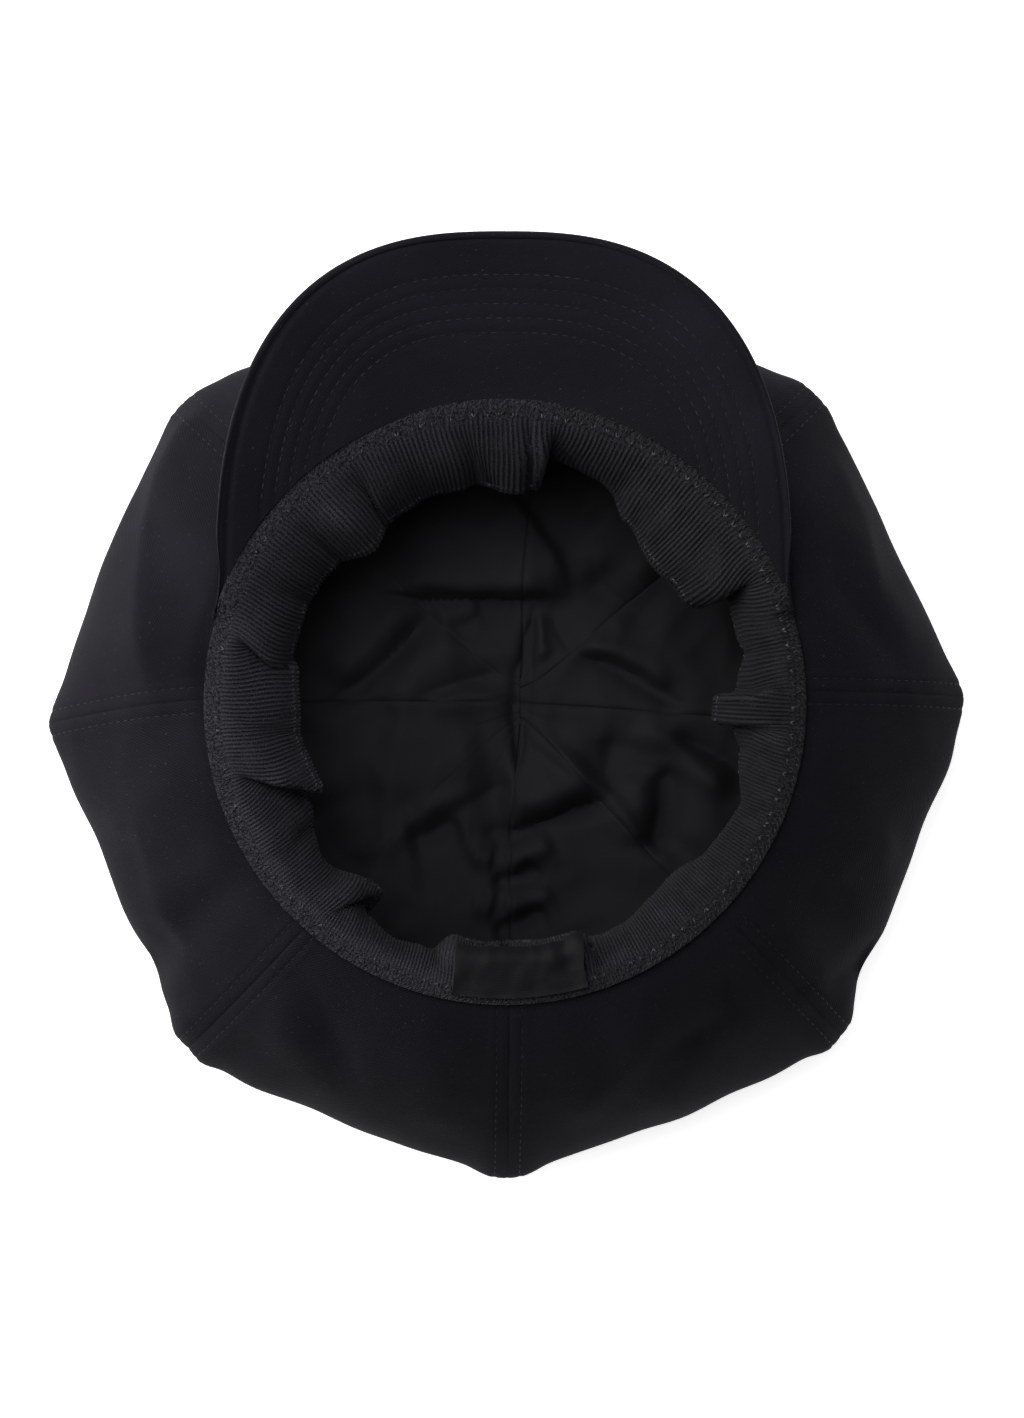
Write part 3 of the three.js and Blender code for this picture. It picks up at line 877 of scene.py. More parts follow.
def rib_turn(angle):
    """The ribs' own turn: they lie closer together at the back of the cap than at its front."""
    turn = np.radians(angle)
    return RIBS * (turn + RIB_CROWDING * (np.cos(turn) - 1))


rib_angles = np.linspace(0, 360, 7200)


def angle_of_turn(share):
    """The angle at a share of all the ribs, so that the mesh has as many points on each of them."""
    return np.interp(share * 2 * math.pi * RIBS, rib_turn(rib_angles), rib_angles)


def band_relief(angle, share):
    """Ribs in the middle, loops in the border and a rough stitched margin."""
    across = share * BAND_WIDTH
    turn = rib_turn(angle)
    border = ease((across - (BAND_WIDTH - BORDER_WIDTH)) / 0.6)
    ribbed = ease((across - MARGIN_WIDTH + 1) / 2) * (1 - border)
    place = np.stack([angle * RIM_RADIUS * math.pi / 180, across, 0 * across], -1)
    rough = soft_noise(place, 1.9, 3.3)
    strength = 0.85 + 0.5 * soft_noise(place, 5, 6.1)
    ribs = RIB_HEIGHT * strength * np.cos(turn + 1.6 * soft_noise(place, 11, 2.9)) + 0.1 * rough
    loops = LOOP_HEIGHT * np.cos(turn + math.pi * across / LOOP_STEP) + 0.2
    margin = 0.3 * rough + 0.08 * np.cos(turn)
    return ribs * ribbed + loops * border + margin * (1 - ribbed) * (1 - border)


def band_surface(angle, share):
    base = band_underside(angle, share)
    way = square_to(band_underside, angle, share, UPWARDS)
    return base + way * (BAND_WALL + band_relief(angle, share))[..., None]


# %% Make the sweatband
POINTS_A_RIB = 4
BAND_ALONG = 26
BAND_CLOTH = BAND_WALL * 0.7


def band_share(v):
    """Closer rows in the border, where the loops are small."""
    widths = [0, MARGIN_WIDTH, BAND_WIDTH - BORDER_WIDTH, BAND_WIDTH]
    return np.interp(v, [0, 0.2, 0.72, 1], widths) / BAND_WIDTH


def make_sweatband():
    def place(u, v):
        return band_surface(angle_of_turn(u), band_share(v))

    piece, _ = cloth_grid("sweatband_tape", RIBS * POINTS_A_RIB, BAND_ALONG, place,
                          cut_length=BAND_LENGTH)
    face_way(piece, ABOVE_CAP, away=False)
    merge_ends(piece)
    thicken(piece, BAND_CLOTH)
    join_body(piece, "band_tape", "sweatband")
    return piece


sweatband = make_sweatband()
print("sweatband ribs:", RIBS, "faces:", len(sweatband.data.polygons))

# %% [markdown]
# ## Label
# The label is a short piece of satin tape, sewn on through the sweatband, and it is left bare. Its right
# end has come loose and curls up off the band.

# %% Make the label
CURL_HEIGHT = 2.4
CURL_START = 0.88
LABEL_WALL = 0.5
LABEL_CLEARANCE = 0.9
LABEL_ACROSS = 72
LABEL_DOWN = 20


def make_label():
    half = math.degrees(LABEL_LENGTH / RIM_RADIUS / 2)

    def place(u, v):
        angle = LABEL_ANGLE + (2 * u - 1) * half
        share = (LABEL_INSET + v * LABEL_HEIGHT) / BAND_WIDTH
        base = band_underside(angle, share)
        way = square_to(band_underside, angle, share, UPWARDS)
        curl = CURL_HEIGHT * ease((u - CURL_START) / (1 - CURL_START)) ** 2 * (0.7 + 0.3 * v)
        place = np.stack([u * LABEL_LENGTH, v * LABEL_HEIGHT, 0 * u], -1)
        swell = 0.7 * soft_noise(place, 9, 5.2) + 0.3 * soft_noise(place, 4, 1.7)
        hem = 0.25 * (bump(v, 0.05) + bump(v - 1, 0.05))
        above = BAND_WALL + RIB_HEIGHT + LABEL_WALL + LABEL_CLEARANCE + curl + swell + hem
        return base + way * above[..., None]

    piece, _ = cloth_grid("label_satin", LABEL_ACROSS, LABEL_DOWN, place)
    face_way(piece, ABOVE_CAP, away=False)
    thicken(piece, LABEL_WALL)
    join_body(piece, "label_tape", "label")
    return piece


label = make_label()
print("label faces:", len(label.data.polygons))

# %% [markdown]
# ## Peak
# The peak is a board between two cloths. The upper cloth is rolled over the board's edge and shows as a
# narrow bead all round, and the under cloth lies inside it, held by five rows of stitches that follow
# the edge.

# %% The peak's outline
PEAK_INNER = RIM_RADIUS + LAYER_GAP
ROOT_X = PEAK_INNER * math.cos(math.radians(PEAK_ROOT_ANGLE)) + HORN_WIDTH
ROOT_Y = PEAK_INNER * math.sin(math.radians(PEAK_ROOT_ANGLE))
PEAK_REACH = RIM_RADIUS + PEAK_LENGTH - ROOT_Y
PEAK_RISE = math.tan(math.radians(PEAK_TILT))
PEAK_CURL = PEAK_RISE * (PEAK_INNER - ROOT_Y) / (ROOT_X - HORN_WIDTH) ** 2
PEAK_SHIFT_X = RIM_SHIFT_X - 0.4
ROLL_TOP = BOARD_THICKNESS + LAYER_GAP + UNDER_WALL
EDGE_SAMPLES = 1600
EDGE_STEP = 8
ROW_STEP = 6
HORN_TAPER = 0.035
HORN_SLIDE = 4.0
LEFT_ROLL = 1.4


def raw_outer_edge(share):
    turn = share * math.pi
    power = 2 / PEAK_SQUARENESS
    across = np.sign(np.cos(turn)) * np.abs(np.cos(turn)) ** power
    out = np.clip(np.sin(turn), 0, 1) ** power
    return np.stack([ROOT_X * across, ROOT_Y + PEAK_REACH * out], -1)


edge_samples = np.linspace(0, 1, EDGE_SAMPLES)
edge_points = raw_outer_edge(edge_samples)
edge_length = np.concatenate([[0], np.cumsum(np.linalg.norm(np.diff(edge_points, axis=0), axis=1))])


def even_share(share):
    """The edge's own share at an even share of its length."""
    return np.interp(share * edge_length[-1], edge_length, edge_samples)


def inner_edge(share):
    angle = np.radians(mix(PEAK_ROOT_ANGLE, 180 - PEAK_ROOT_ANGLE, share))
    return np.stack([PEAK_INNER * np.cos(angle), PEAK_INNER * np.sin(angle)], -1)


def board_height(x, y):
    return RIM_HEIGHT + PEAK_RISE * (y - PEAK_INNER) + PEAK_CURL * x ** 2


def taper_horns(spot, share_round):
    """Slides the two ends of the peak round the opening and brings them to a point."""
    end = np.minimum(share_round, 1 - share_round)
    taper = ease(1 - end / HORN_TAPER)
    side = np.where(share_round < 0.5, -1, 1)
    reach = np.linalg.norm(spot, axis=-1)
    turn = np.arctan2(spot[..., 1], spot[..., 0]) + side * taper * math.radians(HORN_SLIDE)
    reach = PEAK_INNER + (reach - PEAK_INNER) * (1 - taper)
    return np.stack([reach * np.cos(turn), reach * np.sin(turn)], -1), taper


def from_edge(x, y):
    """Millimetres from the peak's outer edge, and the share of its length at the nearest place."""
    distance, _, along = route_distance(x, y, edge_points[::EDGE_STEP])
    return distance, along


def roll_at(along):
    """Width of the rolled edge, which shows more towards the left end."""
    return ROLL_WIDTH + LEFT_ROLL * ease((along - 0.6) / 0.22)


print("peak edge is", round(float(edge_length[-1])), "mm long")

# %% [markdown]
# The board and upper cloth are one closed profile swept along the edge. It runs out under the board,
# round the bead, back over it and in along the board's upper side to the opening.

# %% Make the board and upper cloth
PEAK_ACROSS = 220
BOARD_ROUND = 66
BEAD_STARTS = 0.3
BEAD_ENDS = 0.62
LIP_ENDS = 0.66
BOARD_STARTS = 0.70
BOARD_ENDS = 0.985


def bead_profile(v, wider):
    """Distance in from the edge, share of the way to it, and height, round the closed section."""
    share = np.interp(v, [0, BEAD_STARTS, BOARD_STARTS, BOARD_ENDS, 1.0], [0, 1, 1, 0, 0])
    bead = ROLL_TOP / 2
    turn = np.interp(v, [BEAD_STARTS, BEAD_ENDS], [-90, 90])
    round_in = bead * (1 - np.cos(np.radians(turn)))
    lip = [BEAD_ENDS, LIP_ENDS, BOARD_STARTS]
    beyond = np.interp(v, lip, [0, 1, 1]) * wider + np.interp(v, lip, [0, 0.5, 0.6])
    distance = np.where(v < BEAD_ENDS, round_in, bead + beyond)
    height = np.where(v < BEAD_ENDS, bead * (1 + np.sin(np.radians(turn))), 0)
    inside = np.interp(v, [*lip, BOARD_ENDS, 1.0],
                       [ROLL_TOP, ROLL_TOP - 0.3, BOARD_THICKNESS, BOARD_THICKNESS, 0])
    return distance, share, np.where(v < BEAD_ENDS, height, inside)


def make_peak_board():
    def place(u, v):
        share_round = even_share(u)
        inner = inner_edge(share_round)
        outer = raw_outer_edge(share_round)
        depth = np.linalg.norm(outer - inner, axis=-1)
        distance, share, height = bead_profile(v, roll_at(u) - ROLL_WIDTH)
        way = share * (1 - distance / depth)
        spot = inner + (outer - inner) * way[..., None]
        z = board_height(spot[..., 0], spot[..., 1]) + height
        spot, taper = taper_horns(spot, share_round)
        z = z - 1.2 * taper
        pinch = 0.1 * line_noise(u * edge_length[-1], 3.2, 7.5) * bump(distance, 3) * (v > 0.3)
        return np.stack([PEAK_SHIFT_X + spot[..., 0], RIM_SHIFT_Y + spot[..., 1], z + pinch], -1)

    piece, _ = cloth_grid("peak_board", PEAK_ACROSS, BOARD_ROUND, place, cut_flat=True)
    merge_ends(piece)
    only(piece)
    bpy.ops.object.mode_set(mode="EDIT")
    bpy.ops.mesh.select_all(action="SELECT")
    bpy.ops.mesh.fill_holes(sides=0)
    bpy.ops.mesh.select_all(action="SELECT")
    bpy.ops.mesh.normals_make_consistent(inside=False)
    bpy.ops.object.mode_set(mode="OBJECT")
    bpy.ops.object.shade_smooth_by_angle(angle=math.radians(50))
    join_body(piece, "twill", "peak")
    return piece


peak_board = make_peak_board()
print("peak board faces:", len(peak_board.data.polygons))

# %% [markdown]
# Each row of stitches pulls the under cloth down into a shallow groove, and the cloth between two rows
# stands up a little. The grooves are shape and not only a bump in the material, because light from the
# side shows them.

# %% Make the under cloth
FIRST_ROW = 13.3
ROW_SPACING = 4.4
PEAK_ROWS = 5
ROW_SHIFT_RIGHT = 3.4
PEAK_GROOVE = 0.24
UNDER_ACROSS = 230
UNDER_OUT = 64
UNDER_CLOTH = UNDER_WALL * 0.8


def row_distance(row, along):
    """How far a row lies from the edge. The rows draw together at the sides and shift out on the right."""
    side = ease((np.abs(along - 0.5) - 0.15) / 0.2)
    shift = ROW_SHIFT_RIGHT * ease((0.4 - along) / 0.25)
    return FIRST_ROW - shift + row * ROW_SPACING * (1 - 0.09 * side)


def under_height(x, y):
    """Height of the under cloth's upper face above a place in plan."""
    distance, along = from_edge(x, y)
    grooves = sum(-PEAK_GROOVE * bump(distance - row_distance(row, along), 0.9)
                  for row in range(PEAK_ROWS))
    past_rows = distance - row_distance(PEAK_ROWS - 1, along)
    puff = 0.2 * bump(distance - 7, 5) + 0.25 * ease((past_rows - 2) / 5)
    at_edge = -0.6 * bump(distance - roll_at(along), 1.1)
    place = np.stack([x, y, 0 * x], -1)
    soft = 0.3 * soft_noise(place, 34, 4.4) + 0.1 * soft_noise(place, 11, 8.8)
    base = board_height(x, y) + BOARD_THICKNESS + LAYER_GAP + UNDER_WALL
    return base + grooves + puff + at_edge + soft


def make_peak_under():
    def place(u, v):
        share_round = even_share(u)
        inner = inner_edge(share_round)
        outer = raw_outer_edge(share_round)
        depth = np.linalg.norm(outer - inner, axis=-1)
        way = v * (1 - (roll_at(u) + LAYER_GAP) / depth)
        spot = inner + (outer - inner) * way[..., None]
        z = under_height(spot[..., 0], spot[..., 1])
        spot, taper = taper_horns(spot, share_round)
        z = z - 1.4 * taper
        return np.stack([PEAK_SHIFT_X + spot[..., 0], RIM_SHIFT_Y + spot[..., 1], z], -1)

    piece, points = cloth_grid("peak_under_cloth", UNDER_ACROSS, UNDER_OUT, place, cut_flat=True)
    face_way(piece, ABOVE_CAP + UPWARDS * 400, away=False)
    thicken(piece, UNDER_CLOTH)
    join_body(piece, "twill", "peak_under")
    return piece


peak_under = make_peak_under()

# %% [markdown]
# ## Stitches
# A stitch is a short piece of thread that dips into the cloth at both ends. One is modelled from a small
# sphere, and copies of it are laid along each row and joined to one mesh, because a separate object for
# each would be thousands of objects.

# %% Helpers for rows of stitches
def one_stitch():
    """Points from -1 to 1 and faces of a single stitch."""
    bpy.ops.object.select_all(action="DESELECT")
    bpy.ops.mesh.primitive_uv_sphere_add(segments=6, ring_count=5, radius=1)
    piece = bpy.context.object
    bpy.ops.object.mode_set(mode="EDIT")
    bpy.ops.mesh.select_all(action="SELECT")
    bpy.ops.transform.rotate(value=math.pi / 2, orient_axis="Y", center_override=(0, 0, 0))
    bpy.ops.object.mode_set(mode="OBJECT")
    points = read_points(piece)
    points[:, 2] = np.where(points[:, 2] > 0, points[:, 2], 0.6 * points[:, 2])
    faces = [list(face.vertices) for face in piece.data.polygons]
    bpy.data.objects.remove(piece)
    return points, faces


stitch_points, stitch_faces = one_stitch()


def unit(vectors):
    return vectors / np.maximum(np.linalg.norm(vectors, axis=-1, keepdims=True), 1e-9)


def stitches(name, starts, ends, ways, width, height):
    """One mesh of stitches, each from a start to an end, with its thread lying on the cloth."""
    middle = (starts + ends) / 2
    along = ends - starts
    length = np.linalg.norm(along, axis=-1, keepdims=True)
    along = along / length
    across = unit(np.cross(ways, along))
    up = np.cross(along, across)
    shape = (stitch_points[None, :, 0:1] * along[:, None] * length[:, None] / 2
             + stitch_points[None, :, 1:2] * across[:, None] * width / 2
             + stitch_points[None, :, 2:3] * up[:, None] * height)
    points = (middle[:, None] + shape).reshape(-1, 3)
    count = len(stitch_points)
    faces = [[n * count + corner for corner in face] for n in range(len(starts)) for face in stitch_faces]
    mesh = bpy.data.meshes.new(name)
    mesh.from_pydata(((points + CROWN_CENTRE) / 1000).tolist(), [], faces)
    mesh.update()
    piece = bpy.data.objects.new(name, mesh)
    bpy.context.scene.collection.objects.link(piece)
    only(piece)
    bpy.ops.object.shade_smooth()
    return piece


def along_route(points, ways, pitch, length):
    """Starts, ends and outward ways of stitches laid a pitch apart along a row of points."""
    on = np.concatenate([[0], np.cumsum(np.linalg.norm(np.diff(points, axis=0), axis=1))])
    first = np.arange(0, on[-1] - length, pitch)

    def at(where, values):
        return np.stack([np.interp(where, on, values[:, n]) for n in range(3)], -1)

    return at(first, points), at(first + length, points), unit(at(first + length / 2, ways))


def outward_ways(surface, u, v, pivot, away=True):
    step_u, step_v = 0.05, 1e-3
    along_u = surface(u + step_u, v) - surface(u - step_u, v)
    along_v = surface(u, v + step_v) - surface(u, v - step_v)
    way = unit(np.cross(along_u, along_v))
    sign = np.sign(np.sum(way * (surface(u, v) - pivot), -1, keepdims=True))
    return way * sign * (1 if away else -1)


print("faces of one stitch:", len(stitch_faces))

# %% [markdown]
# Two rows run beside every seam of the crown, from near its tip to the opening.

# %% Stitch the crown's seams
STITCH_PITCH = 3.15
STITCH_LENGTH = 2.0
THREAD_WIDTH = 0.42
THREAD_HEIGHT = 0.17
FIRST_STITCH_RADIUS = 14


def crown_rows():
    rows = []
    stage = np.linspace((FIRST_STITCH_RADIUS - TIP_RADIUS) / (REST_RADIUS - TIP_RADIUS), 2.97, 260)
    for seam in seams.angle:
        for side in (-1, 1):
            reach = section_at(np.full_like(stage, seam), stage)[0]
            angle = seam + side * np.degrees(ROW_OFFSET / reach)
            points = crown_surface(angle, stage)
            ways = outward_ways(crown_surface, angle, stage, MIDDLE_OF_CAP)
            rows.append(along_route(points, ways, STITCH_PITCH, STITCH_LENGTH))
    return [np.concatenate(part) for part in zip(*rows)]


crown_stitches = stitches("crown_topstitch", *crown_rows(), THREAD_WIDTH, THREAD_HEIGHT)
join_body(crown_stitches, "twill")
print("crown stitch faces:", len(crown_stitches.data.polygons))

# %% [markdown]
# The rows of the peak keep their distance from its edge, so each is the edge moved inwards. Where a row
# would run in under the sweatband it stops.

# %% Stitch the peak
def peak_rows():
    rows = []
    tangent = np.gradient(edge_points, axis=0)
    inwards = unit(np.stack([-tangent[:, 1], tangent[:, 0]], -1))
    for row in range(PEAK_ROWS):
        distance = row_distance(row, edge_length / edge_length[-1])
        spot = edge_points + inwards * distance[:, None]
        kept = np.hypot(spot[:, 0], spot[:, 1]) > RIM_RADIUS + 0.8
        spot = spot[kept][::ROW_STEP]
        x, y = spot[:, 0], spot[:, 1]
        step = 0.4
        z = under_height(x, y)
        slope_x = (under_height(x + step, y) - z) / step
        slope_y = (under_height(x, y + step) - z) / step
        points = np.stack([PEAK_SHIFT_X + x, RIM_SHIFT_Y + y, z], -1)
        ways = unit(np.stack([-slope_x, -slope_y, np.ones_like(z)], -1))
        rows.append(along_route(points, ways, STITCH_PITCH, STITCH_LENGTH))
    return [np.concatenate(part) for part in zip(*rows)]


peak_stitches = stitches("peak_topstitch", *peak_rows(), THREAD_WIDTH, THREAD_HEIGHT)
join_body(peak_stitches, "twill")
print("peak stitch faces:", len(peak_stitches.data.polygons))

# %% [markdown]
# The sweatband's margin is held by a zigzag whose points lie 4.3 mm apart, with a tighter row of
# overedge stitches on its outer edge. The zigzag's inner points are pulled up a little and catch the
# light, so each has two short legs of its own, given a lighter thread colour as a painted highlight, and
# loose loops of that thread, painted lighter the same way, lie along the border.

# %% Stitch the sweatband
ZIGZAG_PITCH = 4.3
ZIGZAG_OUTER = 1.3
ZIGZAG_INNER = 4.6
KNOT_WIDTH = 0.5


def band_rows():
    count = round(BAND_LENGTH / ZIGZAG_PITCH)
    corners = np.arange(2 * count + 1)
    angle = corners * 180 / count
    share = np.where(corners % 2 == 0, ZIGZAG_OUTER, ZIGZAG_INNER) / BAND_WIDTH
    starts, ends = [], []
    for low, high in ((0.04, 0.48), (0.52, 0.96)):
        start_angle, start_share = mix(angle[:-1], angle[1:], low), mix(share[:-1], share[1:], low)
        end_angle, end_share = mix(angle[:-1], angle[1:], high), mix(share[:-1], share[1:], high)
        starts.append(np.stack([start_angle, start_share], -1))
        ends.append(np.stack([end_angle, end_share], -1))
    edge = np.arange(0, 360, 360 / (2.2 * count))
    starts.append(np.stack([edge, np.full_like(edge, 0.35 / BAND_WIDTH)], -1))
    ends.append(np.stack([edge + 0.75, np.full_like(edge, 1.5 / BAND_WIDTH)], -1))
    return np.concatenate(starts), np.concatenate(ends)


def band_knots():
    """Where the zigzag's inner points catch the light, each as two short legs, and loops in the border."""
    count = round(BAND_LENGTH / ZIGZAG_PITCH)
    knot = (np.arange(count) + 0.5) * 360 / count
    loop = np.arange(0, 360, 360 / RIBS * 1.5)
    starts, ends = [], []
    for angle, across, turn, length in ((knot - 0.36, ZIGZAG_INNER - 1.0, 0.34, 1.0),
                                        (knot + 0.36, ZIGZAG_INNER - 1.0, -0.3, 1.1),
                                        (loop, BAND_WIDTH - BORDER_WIDTH, 0.3, 0.6)):
        on = angle * RIM_RADIUS / 57.3
        shift = 0.7 * line_noise(on, 2.7, 3.1)
        across = across + 0.6 * line_noise(on, 2.3, length)
        starts.append(np.stack([angle + shift, across / BAND_WIDTH], -1))
        ends.append(np.stack([angle + shift + turn, (across + length) / BAND_WIDTH], -1))
    return np.concatenate(starts), np.concatenate(ends)


def stitch_band(name, starts, ends, width):
    middle = (starts + ends) / 2
    ways = square_to(band_underside, middle[:, 0], middle[:, 1], UPWARDS)
    lift = 0.12 * ways
    begin = band_surface(starts[:, 0], starts[:, 1]) + lift
    finish = band_surface(ends[:, 0], ends[:, 1]) + lift
    piece = stitches(name, begin, finish, ways, width, THREAD_HEIGHT)
    join_body(piece, "band_tape")
    return piece


band_stitches = stitch_band("band_zigzag", *band_rows(), THREAD_WIDTH)
band_knot_stitches = stitch_band("band_knots", *band_knots(), KNOT_WIDTH)
print("band stitch faces:", len(band_stitches.data.polygons) + len(band_knot_stitches.data.polygons))

# %% [markdown]
# ## Finishes
# Blender works in linear light, and a colour picked by eye is in sRGB, so one function turns a hex
# value into the other. Another adds a node with its settings and links, and every material below is
# built with it.

# %% Helpers for materials
def colour(value):
    parts = [int(value[n:n + 2], 16) / 255 for n in (1, 3, 5)]
    linear = [c / 12.92 if c <= 0.04045 else ((c + 0.055) / 1.055) ** 2.4 for c in parts]
    return (*linear, 1.0)


def add(tree, kind, inputs=None, **settings):
    """Adds a node. An input is a value, or the socket of another node to link."""
    node = tree.nodes.new(kind)
    for name, value in settings.items():
        setattr(node, name, value)
    for name, value in (inputs or {}).items():
        if isinstance(value, bpy.types.NodeSocket):
            tree.links.new(value, node.inputs[name])
        else:
            node.inputs[name].default_value = value
    return node


def new_material(name):
    material = bpy.data.materials.new(name)
    material.use_nodes = True
    return material, material.node_tree, material.node_tree.nodes["Principled BSDF"]


def wave_scale(pitch):
    """The Wave node's scale for bands a pitch apart."""
    return math.pi / 10 / pitch


def finish(tree, shader, tone, relief, settings):
    """Gives the shader its colour, its relief and its plain numbers."""
    tree.links.new(tone, shader.inputs["Base Color"])
    if relief is not None:
        tree.links.new(relief.outputs[0], shader.inputs["Normal"])
    for name, value in settings.items():
        shader.inputs[name].default_value = value


def painted_light_gradient(tree, tone, way, dark_end, light_end, darkest, lightest):
    """The colour times a share that changes along a way over the cap, between two places in metres: painted
    light and shade.
    """
    place = add(tree, "ShaderNodeTexCoord").outputs["Object"]
    along = add(tree, "ShaderNodeVectorMath", {0: place, 1: way}, operation="DOT_PRODUCT")
    share = add(tree, "ShaderNodeMapRange", {"Value": along.outputs["Value"], "From Min": dark_end,
                                             "From Max": light_end, "To Min": darkest, "To Max": lightest})
    return add(tree, "ShaderNodeMix", {"Factor": 1.0, "A": tone, "B": share.outputs[0]},
               data_type="RGBA", blend_type="MULTIPLY").outputs[2]


def dress(material, *pieces):
    for piece in pieces:
        piece.data.materials.clear()
        piece.data.materials.append(material)


print("black in linear light:", round(colour("#111114")[0], 4))

# %% [markdown]
# Cotton twill shows fine slanting ridges, because each thread passes over two others and each row starts
# one thread further on. The dye is a black with a little blue in it, it is matt, and loose fibres catch
# the light at a flat angle, which the Sheen settings give. Its colour is painted darker on the cap's lower
# right and lighter over the peak, as painted shade and light. Real twill has a ridge every 0.5 mm. It is
# drawn 0.7 mm apart here, which is as fine as the picture can show.

# %% Black cotton twill
TWILL_PITCH = 0.7
TWILL_SLANT = 43
YARN_PITCH = 0.5
LINT_PITCH = 0.9


def cotton_twill():
    material, tree, shader = new_material("black cotton twill")
    flat = add(tree, "ShaderNodeUVMap", uv_map=CLOTH_UV).outputs["UV"]
    place = add(tree, "ShaderNodeTexCoord").outputs["Object"]
    slant = add(tree, "ShaderNodeMapping", {"Vector": flat, "Rotation": (0, 0, math.radians(TWILL_SLANT))})
    ridges = add(tree, "ShaderNodeTexWave",
                 {"Vector": slant.outputs[0], "Scale": wave_scale(TWILL_PITCH), "Distortion": 2.2,
                  "Detail": 2.0, "Detail Scale": 0.6}, wave_type="BANDS", bands_direction="X")
    yarn = add(tree, "ShaderNodeTexNoise", {"Vector": flat, "Scale": 1 / YARN_PITCH, "Detail": 2.0})
    worn = add(tree, "ShaderNodeTexNoise", {"Vector": place, "Scale": 26.0, "Detail": 4.0})
    weave = add(tree, "ShaderNodeMath", {0: ridges.outputs["Fac"], 1: yarn.outputs["Fac"]},
                operation="MULTIPLY_ADD")
    tree.links.new(yarn.outputs["Fac"], weave.inputs[2])
    tone = add(tree, "ShaderNodeMix", {"Factor": ridges.outputs["Fac"], "A": colour("#0d0c10"),
                                       "B": colour("#18171e")}, data_type="RGBA")
    rubbed = add(tree, "ShaderNodeMapRange", {"Value": worn.outputs["Fac"], "From Min": 0.35,
                                              "From Max": 0.75, "To Max": 0.5})
    aged = add(tree, "ShaderNodeMix", {"Factor": rubbed.outputs[0], "A": tone.outputs[2],
                                       "B": colour("#1d1c24")}, data_type="RGBA")
    lint = add(tree, "ShaderNodeTexNoise", {"Vector": flat, "Scale": 1 / LINT_PITCH, "Detail": 1.0})
    caught = add(tree, "ShaderNodeMapRange", {"Value": lint.outputs["Fac"], "From Min": 0.7,
                                              "From Max": 0.78, "To Max": 0.7})
    flecked = add(tree, "ShaderNodeMix", {"Factor": caught.outputs[0], "A": aged.outputs[2],
                                          "B": colour("#3c3c44")}, data_type="RGBA")
    relief = add(tree, "ShaderNodeBump", {"Height": weave.outputs[0], "Strength": 0.7, "Distance": 0.00018})
    # Painted shade and light: the colour is darker towards the lower right and lighter towards the peak.
    painted_light_tone = painted_light_gradient(tree, flecked.outputs[2], (-0.5, 1.0, 0.0), -0.14, 0.06, 0.68, 1.08)
    finish(tree, shader, painted_light_tone, relief,
           {"Roughness": 0.82, "IOR": 1.5, "Specular IOR Level": 0.1, "Sheen Weight": 0.03,
            "Sheen Roughness": 0.45, "Sheen Tint": colour("#a9a9bd")})
    return material


twill = cotton_twill()
dress(twill, *crown_panels, peak_board, peak_under)
print("twill on", len(crown_panels) + 2, "pieces")

# %% [markdown]
# The lining is a thin plain weave, calendered smooth, so it is a neutral black with a soft gloss along
# its folds and next to no texture. Its colour is painted lighter towards its upper left, as painted light.

# %% Polyester lining
LINING_PITCH = 0.4


def polyester_lining():
    material, tree, shader = new_material("smooth polyester lining")
    flat = add(tree, "ShaderNodeUVMap", uv_map=CLOTH_UV).outputs["UV"]
    place = add(tree, "ShaderNodeTexCoord").outputs["Object"]
    weave = add(tree, "ShaderNodeTexNoise", {"Vector": flat, "Scale": 1 / LINING_PITCH, "Detail": 1.0})
    cloud = add(tree, "ShaderNodeTexNoise", {"Vector": place, "Scale": 34.0, "Detail": 3.0})
    tone = add(tree, "ShaderNodeMix", {"Factor": cloud.outputs["Fac"], "A": colour("#161517"),
                                       "B": colour("#222124")}, data_type="RGBA")
    relief = add(tree, "ShaderNodeBump", {"Height": weave.outputs["Fac"], "Strength": 0.18,
                                          "Distance": 0.00008})
    # Painted light: the colour is lighter towards the upper left of the opening.
    painted_light_tone = painted_light_gradient(tree, tone.outputs[2], (-0.7, 0.7, 0.0), -0.06, 0.07, 0.74, 1.5)
    finish(tree, shader, painted_light_tone, relief,
           {"Roughness": 0.78, "IOR": 1.5, "Specular IOR Level": 0.1, "Sheen Weight": 0.03,
            "Sheen Roughness": 0.35})
    return material


lining = polyester_lining()
dress(lining, *lining_gores)
print("lining on", len(lining_gores), "gores")

# %% [markdown]
# The sweatband is woven from spun yarn over rubber cords. The grooves between its ribs are painted darker
# than the ribs, as painted shade, its margin is pitted by the overedge stitches, and fine light speckles
# are painted on as glints of single fibres. Its left side is painted lighter than its right, as painted
# light.

# %% Elastic tape
LOOP_PITCH = 0.9
FLECKS_PER_MM = 2.4


